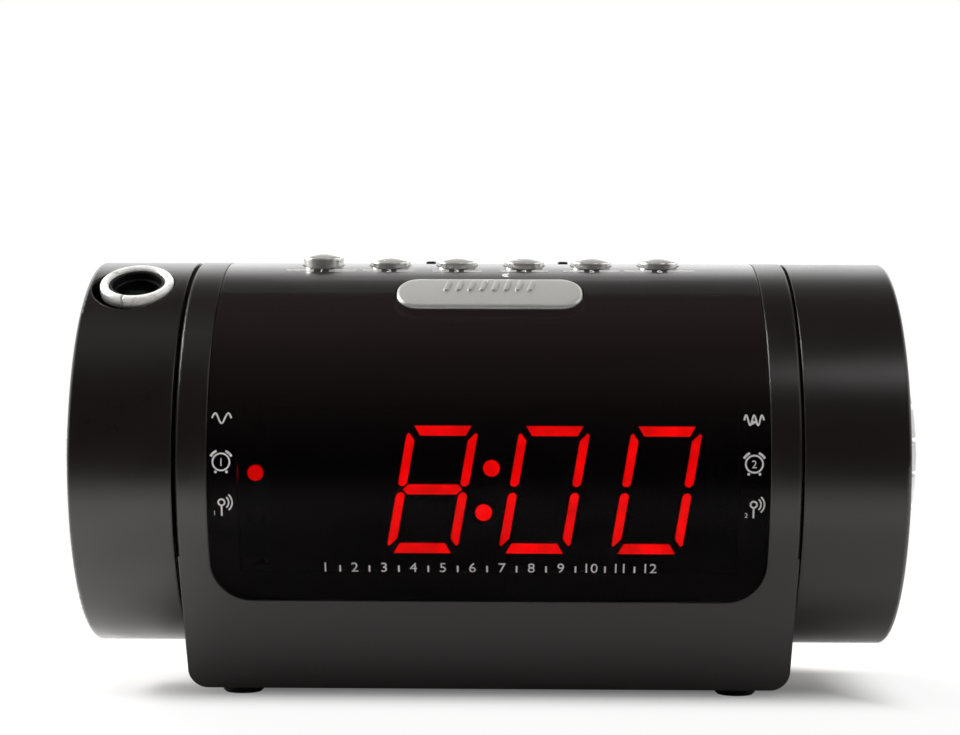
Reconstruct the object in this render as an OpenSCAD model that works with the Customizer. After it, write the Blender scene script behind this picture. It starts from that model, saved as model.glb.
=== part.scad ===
// Projection alarm clock radio. A barrel lies on a base block. Its left drum turns and
// carries the time projector, and its right drum holds the loudspeaker.
// The origin lies on the resting surface under the middle: +X right, -Y front, +Z up.

/* [Cabinet] */
// Outer radius of the barrel, at its two hoops
barrel_r = 48.2; // [46:0.1:52]
// Height of the barrel's axis above the surface that the clock stands on
axis_h = 59.3; // [57:0.1:64]
// Length of the cabinet over its two hoops
cabinet_w = 147; // [141:1:165]
// Width of each hoop
hoop_w = 7.5; // [6.5:0.5:9]
// How far the window and the button panel lie below the hoops
hoop_step = 0.1; // [0.1:0.1:0.8]
// Chamfer on the edges of the hoops and drums
edge_chamfer = 0.6; // [0.3:0.1:1]
// Wall of the moulded shells
wall = 2.2; // [1.8:0.1:2.6]
// Lean of the base's front face, in degrees from upright
front_lean = 29; // [24:1:32]
// Lean of the base's rear face, in degrees from upright
rear_lean = 10; // [6:1:14]
// Corner radius at the foot of the base, seen from the front
base_corner = 4.7; // [3:0.1:7]
// Plane where the front and rear housings meet, behind the barrel's axis
split_y = 12; // [8:1:14]

/* [Window and button panel] */
// Thickness of the window and of the button panel
skin_t = 1.7; // [1.4:0.1:2]
// Angle of the window's top edge above the front horizontal
window_top = 55; // [53:0.5:59]
// Depth of the window's bottom edge below the barrel's axis
window_drop = 34.4; // [31:0.1:36]
// Radius of the window's two bottom corners
window_corner = 9.3; // [5:0.1:12]
// Angle of the button panel's rear edge, from the front horizontal
panel_rear = 130; // [118:1:140]

/* [Drums] */
// How far each drum reaches beyond its hoop
drum_reach = 25.4; // [23:0.1:30]
// How far the drums lie below the hoops
drum_step = 0.1; // [0.1:0.1:0.8]
// Gap between the turning drum and its hoop
drum_gap = 0.8; // [0.6:0.1:1.2]
// Gap between the loudspeaker drum and its hoop
speaker_gap = 0.4; // [0.2:0.1:0.6]
// Radius of the drums' outer edge
drum_round = 1; // [0.5:0.1:2]
// Radius of the silver disc on each end
disc_r = 36; // [35:0.5:38]
// Rise of the disc's dome
disc_rise = 8.5; // [4:0.1:9.5]
// Thickness of the disc
disc_t = 1.8; // [1.4:0.1:2.2]
// Spacing of the disc's slots
slot_pitch = 8.2; // [6.5:0.1:9]
// Width of the disc's slots
slot_w = 1.4; // [1.2:0.1:3]

/* [Drum bearing] */
// Radius of the bearing bore in the left end plate
bearing_r = 14; // [12:0.5:16]
// Length of the bearing bore
bearing_len = 9; // [7:0.5:12]
// Radius of the cable way through the spigot
cable_way_r = 9; // [7:0.5:9.5]
// Distance of the stop peg from the drum's axis
stop_pitch = 34; // [31:0.5:36]
// Radius of the stop peg
stop_r = 2.2; // [1.8:0.1:2.6]
// Turn of the drum from rest to its forward stop, in degrees
turn_forward = 60; // [40:5:70]
// Turn of the drum from rest to its rearward stop, in degrees
turn_back = 120; // [90:5:125]

/* [Projector] */
// Distance of the projector's axis from its hoop
projector_out = 13.2; // [12.5:0.1:13.5]
// Angle of the projector above the front horizontal, at rest
projector_a = 60; // [45:1:75]
// Outer radius of the focus ring
ring_r = 9; // [8.6:0.1:9.2]
// Bore of the focus ring
ring_hole_r = 6.1; // [6.05:0.05:6.2]
// Inner radius of the silver trim on the focus ring
trim_hole_r = 6.85; // [6.8:0.05:7.1]
// Height of the focus ring above the hoops' radius
ring_rise = 1; // [0.8:0.1:2.5]
// Height of the silver trim on the focus ring
trim_h = 3; // [2.4:0.1:3.2]
// Outer radius of the lens barrel
lens_barrel_r = 5.9; // [5.7:0.1:5.9]
// Travel of the lens each way from rest
focus_travel = 0.8; // [0.5:0.1:1]

/* [Buttons] */
// Spacing of the six buttons
button_pitch = 16.86; // [14:0.1:17.5]
// Radius of a button
button_r = 5; // [3.6:0.1:5.2]
// Rise of the five low buttons above their panel
button_rise = 2.4; // [1.8:0.1:3]
// Rise of the projection button above its panel
tall_rise = 3.4; // [3:0.1:4.5]
// Angle from the snooze bar up to the button row
button_turn = 24.5; // [23:0.5:27]
// Travel of a low button and of the snooze bar
key_travel = 0.5; // [0.3:0.1:0.6]
// Travel of the latching projection button
latch_travel = 1.5; // [1:0.1:1.8]
// Length of the snooze bar
snooze_len = 45.4; // [38:0.1:48]
// Width of the snooze bar
snooze_w = 12.4; // [11:0.1:15]
// Corner radius of the snooze bar
snooze_corner = 5.5; // [4:0.1:5.5]
// Rise of the snooze bar above its panel
snooze_rise = 0.8; // [0.7:0.1:2]
// Angle of the snooze bar's middle above the window's top edge
snooze_above = 0.5; // [-0.5:0.5:1.5]

/* [Display] */
// Height of a digit
digit_h = 30.5; // [26:0.5:31]
// Width of a digit over its upright segments
digit_w = 17; // [13:0.1:17.2]
// Thickness of a level segment
segment_t = 2.4; // [1.8:0.1:3]
// Thickness of an upright segment
upright_t = 2.1; // [1.8:0.1:2.8]
// Gap between two segments, measured square to their mitre
segment_gap = 0.5; // [0.3:0.1:0.8]
// Lean of the digits in degrees
digit_slant = 9.8; // [0:0.1:12]
// Spacing of the digits
digit_pitch = 26.8; // [24:0.1:27]
// Depth of the digits' middle below the barrel's axis
digit_drop = 7.6; // [6:0.1:9]
// Radius of the two colon dots and of the indicator lights
dot_r = 2; // [1.5:0.05:2.2]
// Distance of the display's face behind the front of the hoops
face_back = 12; // [11:0.5:14]
// Distance of the indicator lights from the middle
indicator_x = 56.1; // [54.6:0.1:56.5]

/* [Base] */
// Height of the rubber feet
foot_h = 2; // [1.6:0.1:3]
// Radius of the rubber feet
foot_r = 5; // [4:0.5:6]
// Distance of the feet's middle from the outer sides of the hoops
foot_in = 12.3; // [12:0.1:17.5]
// Thickness of the base plate
plate_t = 2.4; // [2:0.1:3]
// Diameter of a backup cell
cell_d = 10.5; // [10.5:0.1:10.5]
// Length of a backup cell
cell_len = 44.5; // [44.5:0.1:44.5]
// Radius of the bore for the mains cord in its gland
cord_r = 2.3; // [1.8:0.1:2.8]

/* [Fits] */
// Clearance between two seated mouldings, on each side
seat = 0.15; // [0.1:0.05:0.25]
// Clearance between curved faces that nest
nest = 0.05; // [0.03:0.01:0.1]
// Radial running clearance of the drum's spigot and the lens barrel
running = 0.07; // [0.03:0.01:0.09]
// Gap round a button or bar in its panel
key_gap = 0.3; // [0.2:0.05:0.5]
// Free play kept between a pressed key and its switch
key_play = 0.05; // [0.05:0.05:0.1]

/* [Hidden] */

// Derived from the sizes above.
// Derived from the sizes above.
// Derived from the sizes above.
$fn = 96;
snooze_a = window_top + snooze_above;
button_a = snooze_a + button_turn;
face_y = barrel_r - face_back;
half_w = cabinet_w / 2;
foot_x = half_w - foot_in;
projector_x = half_w + projector_out;
base_z = foot_h;
opening_x = half_w - hoop_w;
outer_skin_r = barrel_r - hoop_step;
inner_skin_r = outer_skin_r - skin_t;
recess_r = inner_skin_r - nest;
mid_cavity_r = recess_r - wall;
end_cavity_r = barrel_r - wall;
step_x = opening_x + wall;
end_wall_x = half_w - wall;
end_hole_r = mid_cavity_r;
window_z = axis_h - window_drop;
far = 2 * barrel_r;
plate_x = half_w - base_corner - wall;
key_post_x = 2.5 * button_pitch + 6.85;
board_margin = 3;
key_hole_x = key_post_x + board_margin + 1;
key_hole_front = snooze_a - 13;
key_hole_rear = button_a + 14;
display_hole_x = indicator_x + dot_r + 0.9;
display_rim = 4;
display_hole_up = digit_h / 2 + display_rim + 2.05 - digit_drop;
display_hole_down = digit_drop + digit_h / 2 + display_rim + 0.45;
boss_r = 3.5;
pilot_r = 1.1;
case_screw_x = 44;
case_screw_front = plate_front() + 8.1;
case_screw_back = plate_back() - 7.5;
case_boss_h = 14;
display_boss_x = display_hole_x + 3.5;
display_boss_z = [-19, 7];
board_boss_r = 2.6;
small_pilot_r = 0.8;
led_depth = 8;
display_board_y = -face_y + led_depth;
rod_pitch = mid_cavity_r - 9;
rod_a = 138.5;
rod_y = -rod_pitch * cos(rod_a);
rod_z = rod_pitch * sin(rod_a);
rod_r = 4;
rod_x0 = -52;
rod_len = 62;
rod_holder_x = [-46, 0];
holder_w = 3;
gland_seat_r = 5;
gland_x = case_screw_x + wall / 2 + gland_seat_r + 0.4;
gland_up = 14;
grommet_x = 61.5;
grommet_seat_r = 2;
vent_pitch = 5;
vents = 8;
vent_h = 15;
button_xs = [for (i = [0 : 5]) (i - 2.5) * button_pitch];
key_board_s = inner_skin_r - 8.9;
board_t = 1.6;
switch_h = 4.3;
post_r = 1.8;
key_post_t = 5;
snooze_post_x = snooze_len / 2 + 4.65;
snooze_board_s = inner_skin_r - 9.9;
key_skirt = 0.9;
key_skirt_t = 1.2;
skirt_drop = 1.9;
stem_r = 2;
low_crown = 1.2;
tall_crown = 1.1;
snooze_edge = 0.8;
snooze_switch_x = 12;
switch_w = 6;
switch_body_h = 3.5;
plunger_r = 1.75;
latch_w = 8;
latch_h = 3.4;
latch_plunger = 0.4;
lead = tan(digit_slant);
mid_w = digit_w - upright_t;
mitre = segment_gap / sqrt(2);
tip_cut = 0.4;
bar_in = 1.3 + mitre;
bar_taper = 1.4;
bar_mid = digit_h / 2 - segment_t / 2;
corner_in = 0.5;
corner_down = 1.35 + mitre;
digit_xs = [for (i = [0 : 3]) (i - 1.5) * digit_pitch];
lit = [[], [0, 1, 2, 3, 4, 5, 6], [0, 1, 2, 3, 4, 5], [0, 1, 2, 3, 4, 5]];
dark = [[0, 1, 2, 3, 4, 5, 6], [], [6], [6]];
face_z = axis_h - digit_drop;
segment_depth = 1.5;
colon_x = -0.2;
colon_up = 5.1;
colon_down = 5.5;
indicator_drop = 3.9;
indicator_pitch = 10.55;
cell_gap = 0.4;
bay_x = cell_len / 2 + 4;
bay_y0 = -8;
bay_len = 2 * (cell_d + cell_gap) + 3;
bay_h = cell_d + 1;
bay_wall = 1.4;
door_t = 1.6;
door_lap = 1.2;
board_y0 = -15;
board_y1 = 31;
board_x0 = -59;
board_x1 = 25;
main_board_z = 30;
board_post_xs = [-55, 21];
board_post_ys = [-11, 27];
main_post_r = 3;
core_w = 34;
transformer_x = bay_x + bay_wall + 1.35 + core_w / 2;
transformer_y = 8;
core_d = 18;
core_h = 28;
pad_h = 2;
floor_z = base_z + plate_t;
cell_z = base_z + door_t + 0.3 + cell_d / 2;
screw_head_r = 2.1;
screw_head_h = 1.2;
hook_x = 14;
hook_w = 5;
hook_len = 1.6;
hook_up = 0.9;
board_top = main_board_z + board_t;
coil_x0 = -36;
coil_len = 26;
coil_t = 1.4;
gland_flange = 1.4;
gland_out = 3.5;
drum_r = barrel_r - drum_step;
drum_end = half_w + drum_reach;
drum_x0 = half_w + drum_gap;
speaker_x0 = half_w + speaker_gap;
end_plate_r = end_cavity_r - seat;
end_plate_x0 = step_x + nest;
end_plate_x1 = end_wall_x - nest;
hub_boss = 4;
retainer_t = 1.5;
hub_screw_pitch = (cable_way_r + bearing_r - running) / 2;
plate_screw_pitch = 26;
spigot_end = end_plate_x1 - bearing_len - 0.2;
stop_rest = 60;
stop_margin = asin((stop_r + 0.4) / stop_pitch);
hub_t = 2.2;
hub_r = drum_r - wall - seat;
drum_boss_pitch = hub_r - 6.25;
drum_boss_r = 3;
drum_boss_a = [0, 120, 240];
tube_s1 = drum_r - 5;
tube_s0 = tube_s1 - 25.6;
cradle_s = [tube_s0 + 5, tube_s0 + 19];
cradle_w = 3;
cradle_reach = 7;
tube_r = 9.2;
scoop_r = 9.6;
scoop_x = 1.3;
scoop_t = 1;
dome_r = (disc_r * disc_r + disc_rise * disc_rise) / (2 * disc_rise);
disc_lip = 1.2;
rows = floor((disc_r - 5) / slot_pitch + 0.5);
ear_x = projector_x - drum_x0 - hub_t - wall - nest;
ear_y0 = 4;
ear_w = 6;
ear_screw_y = tube_r + 3;
ear_len = ear_screw_y + ear_w / 2 - ear_y0;
ear_s = cradle_s[0] + cradle_w + 2;
neck_r = 7.9;
neck_s = tube_s1 - 3.1;
ring_s0 = tube_s1 + 0.6;
ring_top = barrel_r + ring_rise;
trim_w = ring_r - trim_hole_r;
skirt_top = ring_top - trim_h - nest;
sleeve_top = ring_top - trim_w / 2 + 0.2;
notch_a = -106;
notch_w = 0.5;
knurls = 40;
knurl_depth = 0.35;
barrel_s1 = tube_s1 + 3.6;
barrel_s0 = barrel_s1 - 13.2;
lens_t = 3;
optic_r = lens_barrel_r - 0.7;
speaker_wall_x = speaker_x0 + wall;
cone_front = drum_end - 7.5;
flange_r = disc_r - 1.5;
flange_t = 1.4;
speaker_post_pitch = flange_r - 2.9;
cone_r = speaker_post_pitch - 1.8 - 0.2;
surround_r = cone_r - 1.6;
basket_back = cone_front - 8;
magnet_r = 15;
bar_points = [[-digit_w / 2 + bar_in, digit_h / 2], [digit_w / 2 - bar_in, digit_h / 2],
    [digit_w / 2 - bar_in - bar_taper, digit_h / 2 - segment_t],
    [-digit_w / 2 + bar_in + bar_taper, digit_h / 2 - segment_t]];
upright_points = [[digit_w / 2, digit_h / 2 - corner_down - corner_in],
    [digit_w / 2, upright_t / 2 + mitre],
    [digit_w / 2 - upright_t / 2 + tip_cut, mitre + tip_cut],
    [digit_w / 2 - upright_t / 2 - tip_cut, mitre + tip_cut],
    [digit_w / 2 - upright_t, upright_t / 2 + mitre],
    [digit_w / 2 - upright_t, digit_h / 2 - corner_down - upright_t + corner_in / 2],
    [digit_w / 2 - corner_in, digit_h / 2 - corner_down]];
middle_points = [[mitre - mid_w / 2, 0], [mitre - mid_w / 2 + segment_t / 2, segment_t / 2],
    [mid_w / 2 - segment_t / 2 - mitre, segment_t / 2], [mid_w / 2 - mitre, 0],
    [mid_w / 2 - segment_t / 2 - mitre, -segment_t / 2],
    [mitre - mid_w / 2 + segment_t / 2, -segment_t / 2]];

function front_y(r, z) =
    -r * cos(front_lean) + (axis_h - r * sin(front_lean) - z) * tan(front_lean);
function rear_y(r, z) =
    r * cos(rear_lean) - (axis_h - r * sin(rear_lean) - z) * tan(rear_lean);
function plate_front() = front_y(barrel_r, base_z) + wall;
function plate_back() = rear_y(barrel_r, base_z) - wall;
function on_ray(a) = [-far * cos(a), axis_h + far * sin(a)];

// Extrudes an outline drawn in the Y-Z plane along X.
module along_x(x0, x1) {
    translate([x0, 0, 0]) rotate([90, 0, 90]) linear_extrude(x1 - x0) children();
}

// Extrudes an outline drawn in the X-Z plane along Y.
module along_y(y0, y1) {
    translate([0, y1, 0]) rotate([90, 0, 0]) linear_extrude(y1 - y0) children();
}

// Turns +Z to the direction that stands at angle a above the front horizontal.
module at_angle(a, x = 0) {
    translate([x, 0, axis_h]) rotate([90 - a, 0, 0]) children();
}

// Puts +Z of its children along +X, on the barrel's axis.
module on_axis(x = 0) {
    translate([x, 0, axis_h]) rotate([0, 90, 0]) children();
}

module axis_tube(r_in, r_out, x0, x1) {
    on_axis(x0) difference() {
        cylinder(h = x1 - x0, r = r_out);
        translate([0, 0, -1]) cylinder(h = x1 - x0 + 2, r = r_in);
    }
}

// The cabinet's outline in the Y-Z plane: a circle with a base block under it.
module section(r, bottom = 0) {
    translate([0, axis_h]) circle(r);
    polygon([[0, axis_h], [-r * cos(front_lean), axis_h - r * sin(front_lean)],
             [front_y(r, bottom), bottom], [rear_y(r, bottom), bottom],
             [r * cos(rear_lean), axis_h - r * sin(rear_lean)]]);
}

// The part of the Y-Z plane between two angles less than 180 degrees apart.
module wedge(a0, a1) {
    polygon([[0, axis_h], on_ray(a0), 1.5 * on_ray((a0 + a1) / 2) - [0, axis_h / 2],
             on_ray(a1)]);
}

module corner_cut(r) {
    difference() {
        translate([-r - 1, -r - 1]) square(r + 1);
        circle(r);
    }
}

// ---- Cabinet ----

module chamfered_barrel(r, x) {
    on_axis() rotate_extrude() polygon([[0, -x], [r - edge_chamfer, -x],
        [r, -x + edge_chamfer], [r, x - edge_chamfer], [r - edge_chamfer, x], [0, x]]);
}

module base_block() {
    foot_w = half_w - base_corner;
    difference() {
        along_x(-half_w, half_w) polygon([[0, axis_h],
            [-barrel_r * cos(front_lean), axis_h - barrel_r * sin(front_lean)],
            [front_y(barrel_r, base_z), base_z], [rear_y(barrel_r, base_z), base_z],
            [barrel_r * cos(rear_lean), axis_h - barrel_r * sin(rear_lean)]]);
        for (side = [-1, 1]) along_y(-far, far)
            translate([side * foot_w, base_z + base_corner])
            mirror([side < 0 ? 0 : 1, 0]) corner_cut(base_corner);
    }
}

module cabinet_block() {
    chamfered_barrel(barrel_r, half_w);
    base_block();
}

module cabinet_cavity() {
    inside_z = base_z + plate_t;
    along_x(-step_x, step_x) intersection() {
        section(mid_cavity_r, inside_z);
        translate([-far, inside_z]) square([far + split_y, far]);
    }
    along_x(-step_x, step_x) intersection() {
        section(mid_cavity_r, inside_z);
        translate([0, inside_z]) square([far, far]);
    }
    for (side = [-1, 1]) along_x(side > 0 ? step_x - 1 : -end_wall_x,
                                 side > 0 ? end_wall_x : 1 - step_x)
        intersection() {
            section(end_cavity_r, inside_z + base_corner);
            translate([-far, inside_z + base_corner]) square([2 * far, far]);
        }
    on_axis(-half_w - 1) cylinder(h = cabinet_w + 2, r = end_hole_r);
}

module plate_opening(gap = 0) {
    translate([-plate_x + gap, plate_front() + gap, base_z - 1])
        cube([2 * (plate_x - gap), plate_back() - plate_front() - 2 * gap, plate_t + 2]);
}

module window_outline(gap = 0) {
    half = opening_x - gap;
    z0 = window_z + gap;
    difference() {
        translate([-half, z0]) square([2 * half, far]);
        translate([-half + window_corner, z0 + window_corner]) corner_cut(window_corner);
        translate([half - window_corner, z0 + window_corner])
            mirror([1, 0]) corner_cut(window_corner);
    }
}

// Everything outside the recess that takes the window and the button panel.
module skin_recess() {
    intersection() {
        along_x(-opening_x, opening_x) intersection() {
            difference() {
                section(barrel_r + 3, window_z - 1);
                section(recess_r, base_z);
            }
            union() {
                wedge(-60, 70);
                wedge(60, panel_rear);
            }
        }
        along_y(-far, far) window_outline();
    }
}

// The hole under the button panel for the keys and their boards.
module key_opening() {
    along_x(-key_hole_x, key_hole_x) intersection() {
        section(barrel_r + 3, axis_h);
        wedge(key_hole_front, key_hole_rear);
    }
}

// The hole behind the window for the display.
module display_opening() {
    along_y(-far, -20) translate([-display_hole_x, axis_h - display_hole_down])
        square([2 * display_hole_x, display_hole_up + display_hole_down]);
}

// A screw boss on the base's inside, with a web to the wall behind it.
module case_boss(x, y, web) {
    z0 = base_z + plate_t;
    difference() {
        intersection() {
            union() {
                translate([x, y, z0]) cylinder(h = case_boss_h, r = boss_r);
                translate([x - wall / 2, min(y, y + web), z0])
                    cube([wall, abs(web), case_boss_h]);
            }
            along_x(x - boss_r - 1, x + boss_r + 1) section(recess_r - wall / 2, z0);
        }
        translate([x, y, z0 - 1]) cylinder(h = case_boss_h, r = pilot_r);
    }
}

module display_bosses() {
    for (side = [-1, 1]) for (dz = display_boss_z)
        intersection() {
            along_y(-barrel_r, display_board_y) translate([side * display_boss_x, axis_h + dz])
                difference() {
                    circle(board_boss_r);
                    circle(small_pilot_r);
                }
            along_x(-half_w, half_w) section(recess_r - wall / 2, base_z);
        }
}

module front_housing() color("#1a1919") {
    difference() {
        intersection() {
            cabinet_block();
            translate([-far, split_y - far, 0]) cube([2 * far, far, 2 * far]);
        }
        cabinet_cavity();
        plate_opening();
        skin_recess();
        key_opening();
        display_opening();
    }
    for (side = [-1, 1]) case_boss(side * case_screw_x, case_screw_front, -14);
    display_bosses();
}

// Puts +Z of its children along the rear face's normal, at height up over the base.
module on_rear(x, up) {
    translate([x, rear_y(barrel_r, base_z + up), base_z + up])
        rotate([-90 - rear_lean, 0, 0]) children();
}

module rod_holder(x) {
    along_x(x, x + holder_w) difference() {
        intersection() {
            section(mid_cavity_r + wall / 2, axis_h);
            translate([rod_y - rod_r - wall, axis_h + rod_z - rod_r - wall])
                square([far, far]);
        }
        translate([rod_y, axis_h + rod_z]) circle(rod_r + nest);
    }
}

module rear_housing() color("#1a1919") {
    difference() {
        intersection() {
            cabinet_block();
            translate([-far, split_y, 0]) cube([2 * far, far, 2 * far]);
        }
        cabinet_cavity();
        plate_opening();
        skin_recess();
        on_rear(gland_x, gland_up) translate([0, 0, -4 * wall])
            cylinder(h = 6 * wall, r = gland_seat_r);
        on_rear(grommet_x, gland_up) translate([0, 0, -4 * wall])
            cylinder(h = 6 * wall, r = grommet_seat_r);
        for (i = [0 : vents - 1])
            on_rear((i - (vents - 1) / 2) * vent_pitch, gland_up + vent_h)
            translate([-wall / 2, -vent_h / 2, -4 * wall]) cube([wall, vent_h, 6 * wall]);
    }
    for (side = [-1, 1]) case_boss(side * case_screw_x, case_screw_back, 12);
    for (x = rod_holder_x) rod_holder(x);
}

module display_window() color([0.05, 0.03, 0.03, 0.6]) {
    intersection() {
        along_x(-opening_x + seat, opening_x - seat) intersection() {
            difference() {
                section(outer_skin_r, base_z);
                section(inner_skin_r, base_z);
            }
            wedge(-60, window_top);
        }
        along_y(-far, 0) window_outline(seat);
        difference() {
            translate([-far, -far, 0]) cube([2 * far, far, 2 * far]);
            snooze_hole();
        }
    }
}

module snooze_outline(grow = 0) {
    r = snooze_corner + grow;
    l = snooze_len / 2 - snooze_corner;
    w = snooze_w / 2 - snooze_corner;
    square([2 * l, 2 * (w + r)], center = true);
    square([2 * (l + r), 2 * w], center = true);
    for (sx = [-1, 1]) for (sy = [-1, 1]) translate([sx * l, sy * w]) circle(r);
}

module snooze_hole() {
    at_angle(snooze_a) translate([0, 0, mid_cavity_r - 2])
        linear_extrude(far - barrel_r) snooze_outline(key_gap);
}

module button_panel() color("#2b2a2b") {
    gap_a = seat / outer_skin_r * 180 / PI;
    difference() {
        along_x(-opening_x + seat, opening_x - seat) intersection() {
            difference() {
                section(outer_skin_r, axis_h);
                section(inner_skin_r, axis_h);
            }
            wedge(window_top + gap_a, panel_rear - gap_a);
        }
        snooze_hole();
        for (x = button_xs) at_angle(button_a, x)
            cylinder(h = far, r = button_r + key_gap);
    }
    for (side = [-1, 1]) {
        for (t = [-1, 1]) at_angle(button_a, side * key_post_x)
            translate([0, t * key_post_t, key_board_s + board_t]) board_post(
                inner_skin_r - key_board_s - board_t);
        at_angle(snooze_a, side * snooze_post_x)
            translate([0, key_post_t, snooze_board_s + board_t]) board_post(
                inner_skin_r - snooze_board_s - board_t);
    }
}

module board_post(h) {
    difference() {
        cylinder(h = h, r = post_r);
        translate([0, 0, -1]) cylinder(h = h - 1, r = small_pilot_r);
    }
}

// A push button round its own axis: cap, skirt under the panel, and stem to its switch.
module push_button(rise, crown, travel, switch_top) {
    skirt_s = inner_skin_r - skirt_drop;
    stem_s = key_board_s + board_t + switch_top + travel + key_play;
    top_s = outer_skin_r + rise;
    crown_r = (button_r * button_r + crown * crown) / (2 * crown);
    intersection() {
        translate([0, 0, skirt_s]) cylinder(h = top_s - skirt_s, r = button_r);
        translate([0, 0, top_s - crown_r]) sphere(crown_r);
    }
    translate([0, 0, skirt_s]) cylinder(h = key_skirt_t, r = button_r + key_skirt);
    translate([0, 0, stem_s]) cylinder(h = skirt_s - stem_s + 0.5, r = stem_r);
}

module low_button(i) {
    color("#b9b7b2") at_angle(button_a, button_xs[i])
        push_button(button_rise, low_crown, key_travel, switch_h);
}

module projection_button() color("#b9b7b2") at_angle(button_a, button_xs[0])
    push_button(tall_rise, tall_crown, latch_travel, latch_h);
module alarm_1_button() low_button(1);
module alarm_2_button() low_button(2);
module minute_button() low_button(3);
module hour_button() low_button(4);
module time_button() low_button(5);

module snooze_bar() color("#b9b7b2") at_angle(snooze_a) {
    skirt_s = mid_cavity_r;
    top_s = outer_skin_r + snooze_rise;
    stem_s = snooze_board_s + board_t + switch_h + key_travel + key_play;
    difference() {
        union() {
            translate([0, 0, skirt_s]) linear_extrude(top_s - snooze_edge - skirt_s)
                snooze_outline();
            translate([0, 0, skirt_s]) linear_extrude(key_skirt_t)
                snooze_outline(key_skirt);
            hull() {
                translate([0, 0, top_s - 2 * snooze_edge]) snooze_layer(0);
                for (k = [1 : 3]) translate([0, 0, top_s - snooze_edge * (1 - sin(30 * k))])
                    snooze_layer(snooze_edge * (1 - cos(30 * k)));
            }
        }
        translate([0, 0, skirt_s - 1]) linear_extrude(top_s - wall - skirt_s + 1)
            snooze_outline(-wall);
    }
    for (side = [-1, 1]) translate([side * snooze_switch_x, 0, stem_s])
        cylinder(h = top_s - wall - stem_s + 0.5, r = stem_r);
}

module snooze_layer(inset) {
    linear_extrude(0.01) snooze_outline(-inset, $fn = 32);
}

// ---- Keys' boards and switches ----

module key_board() color("#1f5c34") at_angle(button_a)
    translate([0, 0, key_board_s]) difference() {
        translate([-key_post_x - board_margin, -key_post_t - board_margin, 0])
            cube([2 * (key_post_x + board_margin), 2 * (key_post_t + board_margin), board_t]);
        for (sx = [-1, 1]) for (sy = [-1, 1])
            translate([sx * key_post_x, sy * key_post_t, -1])
            cylinder(h = board_t + 2, r = small_pilot_r + 0.2);
    }

module snooze_board() color("#1f5c34") at_angle(snooze_a)
    translate([0, 0, snooze_board_s]) difference() {
        translate([-snooze_post_x - board_margin, -switch_w, 0])
            cube([2 * (snooze_post_x + board_margin),
                  switch_w + key_post_t + board_margin / 2, board_t]);
        for (sx = [-1, 1]) translate([sx * snooze_post_x, key_post_t, -1])
            cylinder(h = board_t + 2, r = small_pilot_r + 0.2);
    }

module tact_switch() {
    translate([-switch_w / 2, -switch_w / 2, 0]) cube([switch_w, switch_w, switch_body_h]);
    translate([0, 0, switch_body_h]) cylinder(h = switch_h - switch_body_h, r = plunger_r);
}

module tact_switches() color("#303030") {
    for (i = [1 : 5]) at_angle(button_a, button_xs[i])
        translate([0, 0, key_board_s + board_t]) tact_switch();
    for (side = [-1, 1]) at_angle(snooze_a, side * snooze_switch_x)
        translate([0, 0, snooze_board_s + board_t]) tact_switch();
}

module latch_switch() color("#303030") at_angle(button_a, button_xs[0])
    translate([0, 0, key_board_s + board_t]) {
        translate([-latch_w / 2, -latch_w / 2, 0])
            cube([latch_w, latch_w, latch_h - latch_plunger]);
        translate([-plunger_r, -plunger_r, latch_h - latch_plunger])
            cube([2 * plunger_r, 2 * plunger_r, latch_plunger]);
    }

// ---- Display ----

// Moves a point of an outline as the digit leans. A level segment leans as one, so that both of
// its ends keep the same slope.
function leaned(p, y) = [p[0] + y * lead, p[1]];

// Outlines before the digit leans, with its middle on the origin. The top one is tapered at both
// ends. The upright has its outer corner cut and is blunt where it meets the middle one.

// The seven segments: top, upper right, lower right, bottom, lower left, upper left, middle.
function segment_outline(k) =
    k == 6 ? [for (p = middle_points) leaned(p, p[1])] :
    k == 0 ? [for (p = bar_points) leaned(p, bar_mid)] :
    k == 3 ? [for (p = bar_points) leaned([p[0], -p[1]], -bar_mid)] :
    [for (p = upright_points) upright(k < 3 ? p[0] : -p[0], k == 1 || k == 5 ? p[1] : -p[1])];
function upright(x, y) = leaned([x, y], y);

module segments(which) {
    along_y(-face_y, segment_depth - face_y) translate([0, face_z])
        for (i = [0 : 3]) for (k = which[i])
            translate([digit_xs[i], 0]) polygon(segment_outline(k));
}

module colon() {
    along_y(-face_y, segment_depth - face_y) translate([0, face_z]) {
        translate([colon_x + lead * colon_up, colon_up]) circle(dot_r);
        translate([colon_x - lead * colon_down, -colon_down]) circle(dot_r);
    }
}

module led_display() color("#161616") {
    half = 2 * digit_pitch - (digit_pitch - digit_w) / 2 + display_rim / 2 + 1.6;
    tall = digit_h + 2 * display_rim;
    difference() {
        translate([-half, -face_y, face_z - tall / 2]) cube([2 * half, led_depth, tall]);
        segments(lit);
        segments(dark);
        colon();
    }
}

module lit_segments() color("#ff1a10") {
    segments(lit);
    colon();
}

module unlit_segments() color("#2a1212") segments(dark);

module indicator(side, dz) {
    translate([side * indicator_x, -face_y, axis_h - indicator_drop + dz])
        rotate([-90, 0, 0]) {
            translate([0, 0, dot_r]) cylinder(h = led_depth - dot_r, r = dot_r);
            translate([0, 0, dot_r]) sphere(dot_r);
        }
}

module alarm_light() color("#ff1a10") indicator(-1, 0);

module indicator_lights() color("#4a2020") {
    indicator(-1, indicator_pitch);
    indicator(-1, -indicator_pitch);
    for (k = [-1 : 1]) indicator(1, k * indicator_pitch);
}

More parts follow.
